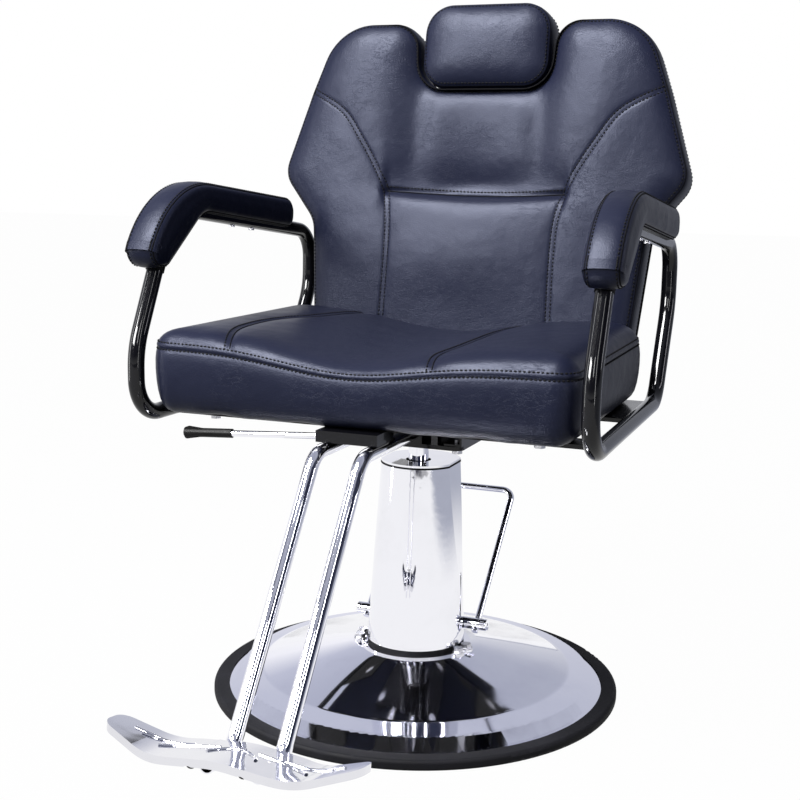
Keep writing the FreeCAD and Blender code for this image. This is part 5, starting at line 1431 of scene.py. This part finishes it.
def build_world():
    world = bpy.data.worlds.new("studio")
    bpy.context.scene.world = world
    world.use_nodes = True
    bench = Bench(world.node_tree)
    heading = bench.node("ShaderNodeTexCoord", out="Generated")
    rise = bench.node("ShaderNodeSeparateXYZ", {}, {"Vector": heading}, out="Z")
    shade = bench.node("ShaderNodeValToRGB", {"stops": WALL_STOPS}, {"Fac": rise}, out="Color")
    beside_it = bench.soft_step(along(bench, ROOM_SIDE, heading), *SIDE_STEP)
    shade = bench.blend(beside_it, shade, SIDE_TONE)
    dim = bench.soft_step(along(bench, ROOM_FRONT, heading), *FRONT_STEP)
    dim = dim * bench.soft_step(rise, *HORIZON_STEP)
    dim = dim * (1 - bench.soft_step(rise, *CEILING_STEP) * CEILING_SHARE)
    shade = bench.blend(dim, shade, FRONT_TONE)
    camera_ray = bench.node("ShaderNodeLightPath", out="Is Camera Ray")
    seen_colour = bench.blend(camera_ray, shade, WHITE)
    seen = bench.node("ShaderNodeBackground", {}, {"Color": seen_colour, "Strength": 1.0})
    plain = bench.node("ShaderNodeBackground", {}, {"Color": WHITE, "Strength": ROOM_LEVEL})
    both = bench.node("ShaderNodeMixShader", {}, {0: rays_that_see(bench), 1: plain, 2: seen})
    bench.node_output("ShaderNodeOutputWorld", both)


def build_floor():
    material, bench = new_finish("studio_floor")
    matt = bench.node("ShaderNodeBsdfDiffuse", {}, {"Color": FLOOR_TONE})
    shine = bench.node("ShaderNodeLightPath", out="Is Glossy Ray")
    far = bench.soft_step(along(bench, ROOM_FRONT, bench.place()), *FLOOR_FRONT_STEP) * shine
    aside = bench.soft_step(along(bench, ROOM_SIDE, bench.place()), *FLOOR_SIDE_STEP) * shine
    tone = bench.blend(aside, WHITE, SIDE_TONE)
    tone = bench.blend(far, tone, FLOOR_FRONT_TONE)
    glow = bench.node("ShaderNodeEmission", {}, {"Color": tone, "Strength": 1.0})
    share = rays_that_see(bench) * FLOOR_SHARE
    both = bench.node("ShaderNodeMixShader", {}, {0: share, 1: matt, 2: glow})
    bench.node_output("ShaderNodeOutputMaterial", both)
    mesh = bpy.data.meshes.new("floor")
    sides = ((-1, -1), (1, -1), (1, 1), (-1, 1))
    corners = [(x * FLOOR_REACH, y * FLOOR_REACH, -FLOOR_DROP) for x, y in sides]
    mesh.from_pydata(corners, [], [(0, 1, 2, 3)])
    floor = new_piece("floor", mesh, material)


build_world()
build_floor()
print("room built")

# %% Lamps
def aimed(place, target):
    return (Vector(target) - Vector(place)).to_track_quat("-Z", "Y").to_matrix().to_4x4()


def add_softbox(name, place, target, width, tall, power, colour=(1, 1, 1), lights=True):
    """A soft lamp. One that lights nothing is seen only in reflections."""
    data = bpy.data.lights.new(name, "AREA")
    data.shape = "RECTANGLE"
    data.size = width
    data.size_y = tall
    data.energy = power
    data.color = colour
    lamp = bpy.data.objects.new(name, data)
    bpy.context.scene.collection.objects.link(lamp)
    lamp.matrix_world = Matrix.Translation(place) @ aimed(place, target)
    lamp.visible_camera = False
    lamp.visible_diffuse = lights


add_softbox("key_softbox", (-1.35, -2.35, 1.8), (0, 0, 0.75), 1.2, 0.9, 196)
add_softbox("front_softbox", (0.9, -2.6, 2.0), (0, 0, 0.8), 0.3, 1.0, 18)
add_softbox("side_softbox", (2.3, 0.5, 1.5), (0, 0, 0.7), 0.25, 1.6, 13, (0.93, 0.92, 1.0))
add_softbox("top_softbox", (-0.75, -1.3, 2.85), (0, 0.1, 0.7), 1.4, 1.1, 360)
add_softbox("left_strip", (-2.2, -0.9, 1.0), (0, 0, 0.6), 0.2, 2.2, 20, lights=False)
add_softbox("right_strip", (1.9, -1.6, 1.2), (0, 0, 0.6), 0.15, 2.0, 14, lights=False)

# %% [markdown]
# Last come the picture settings. The view transform stays plain, so a colour shows as it is written.

# %% Picture settings
bpy.context.scene.view_settings.view_transform = "Standard"
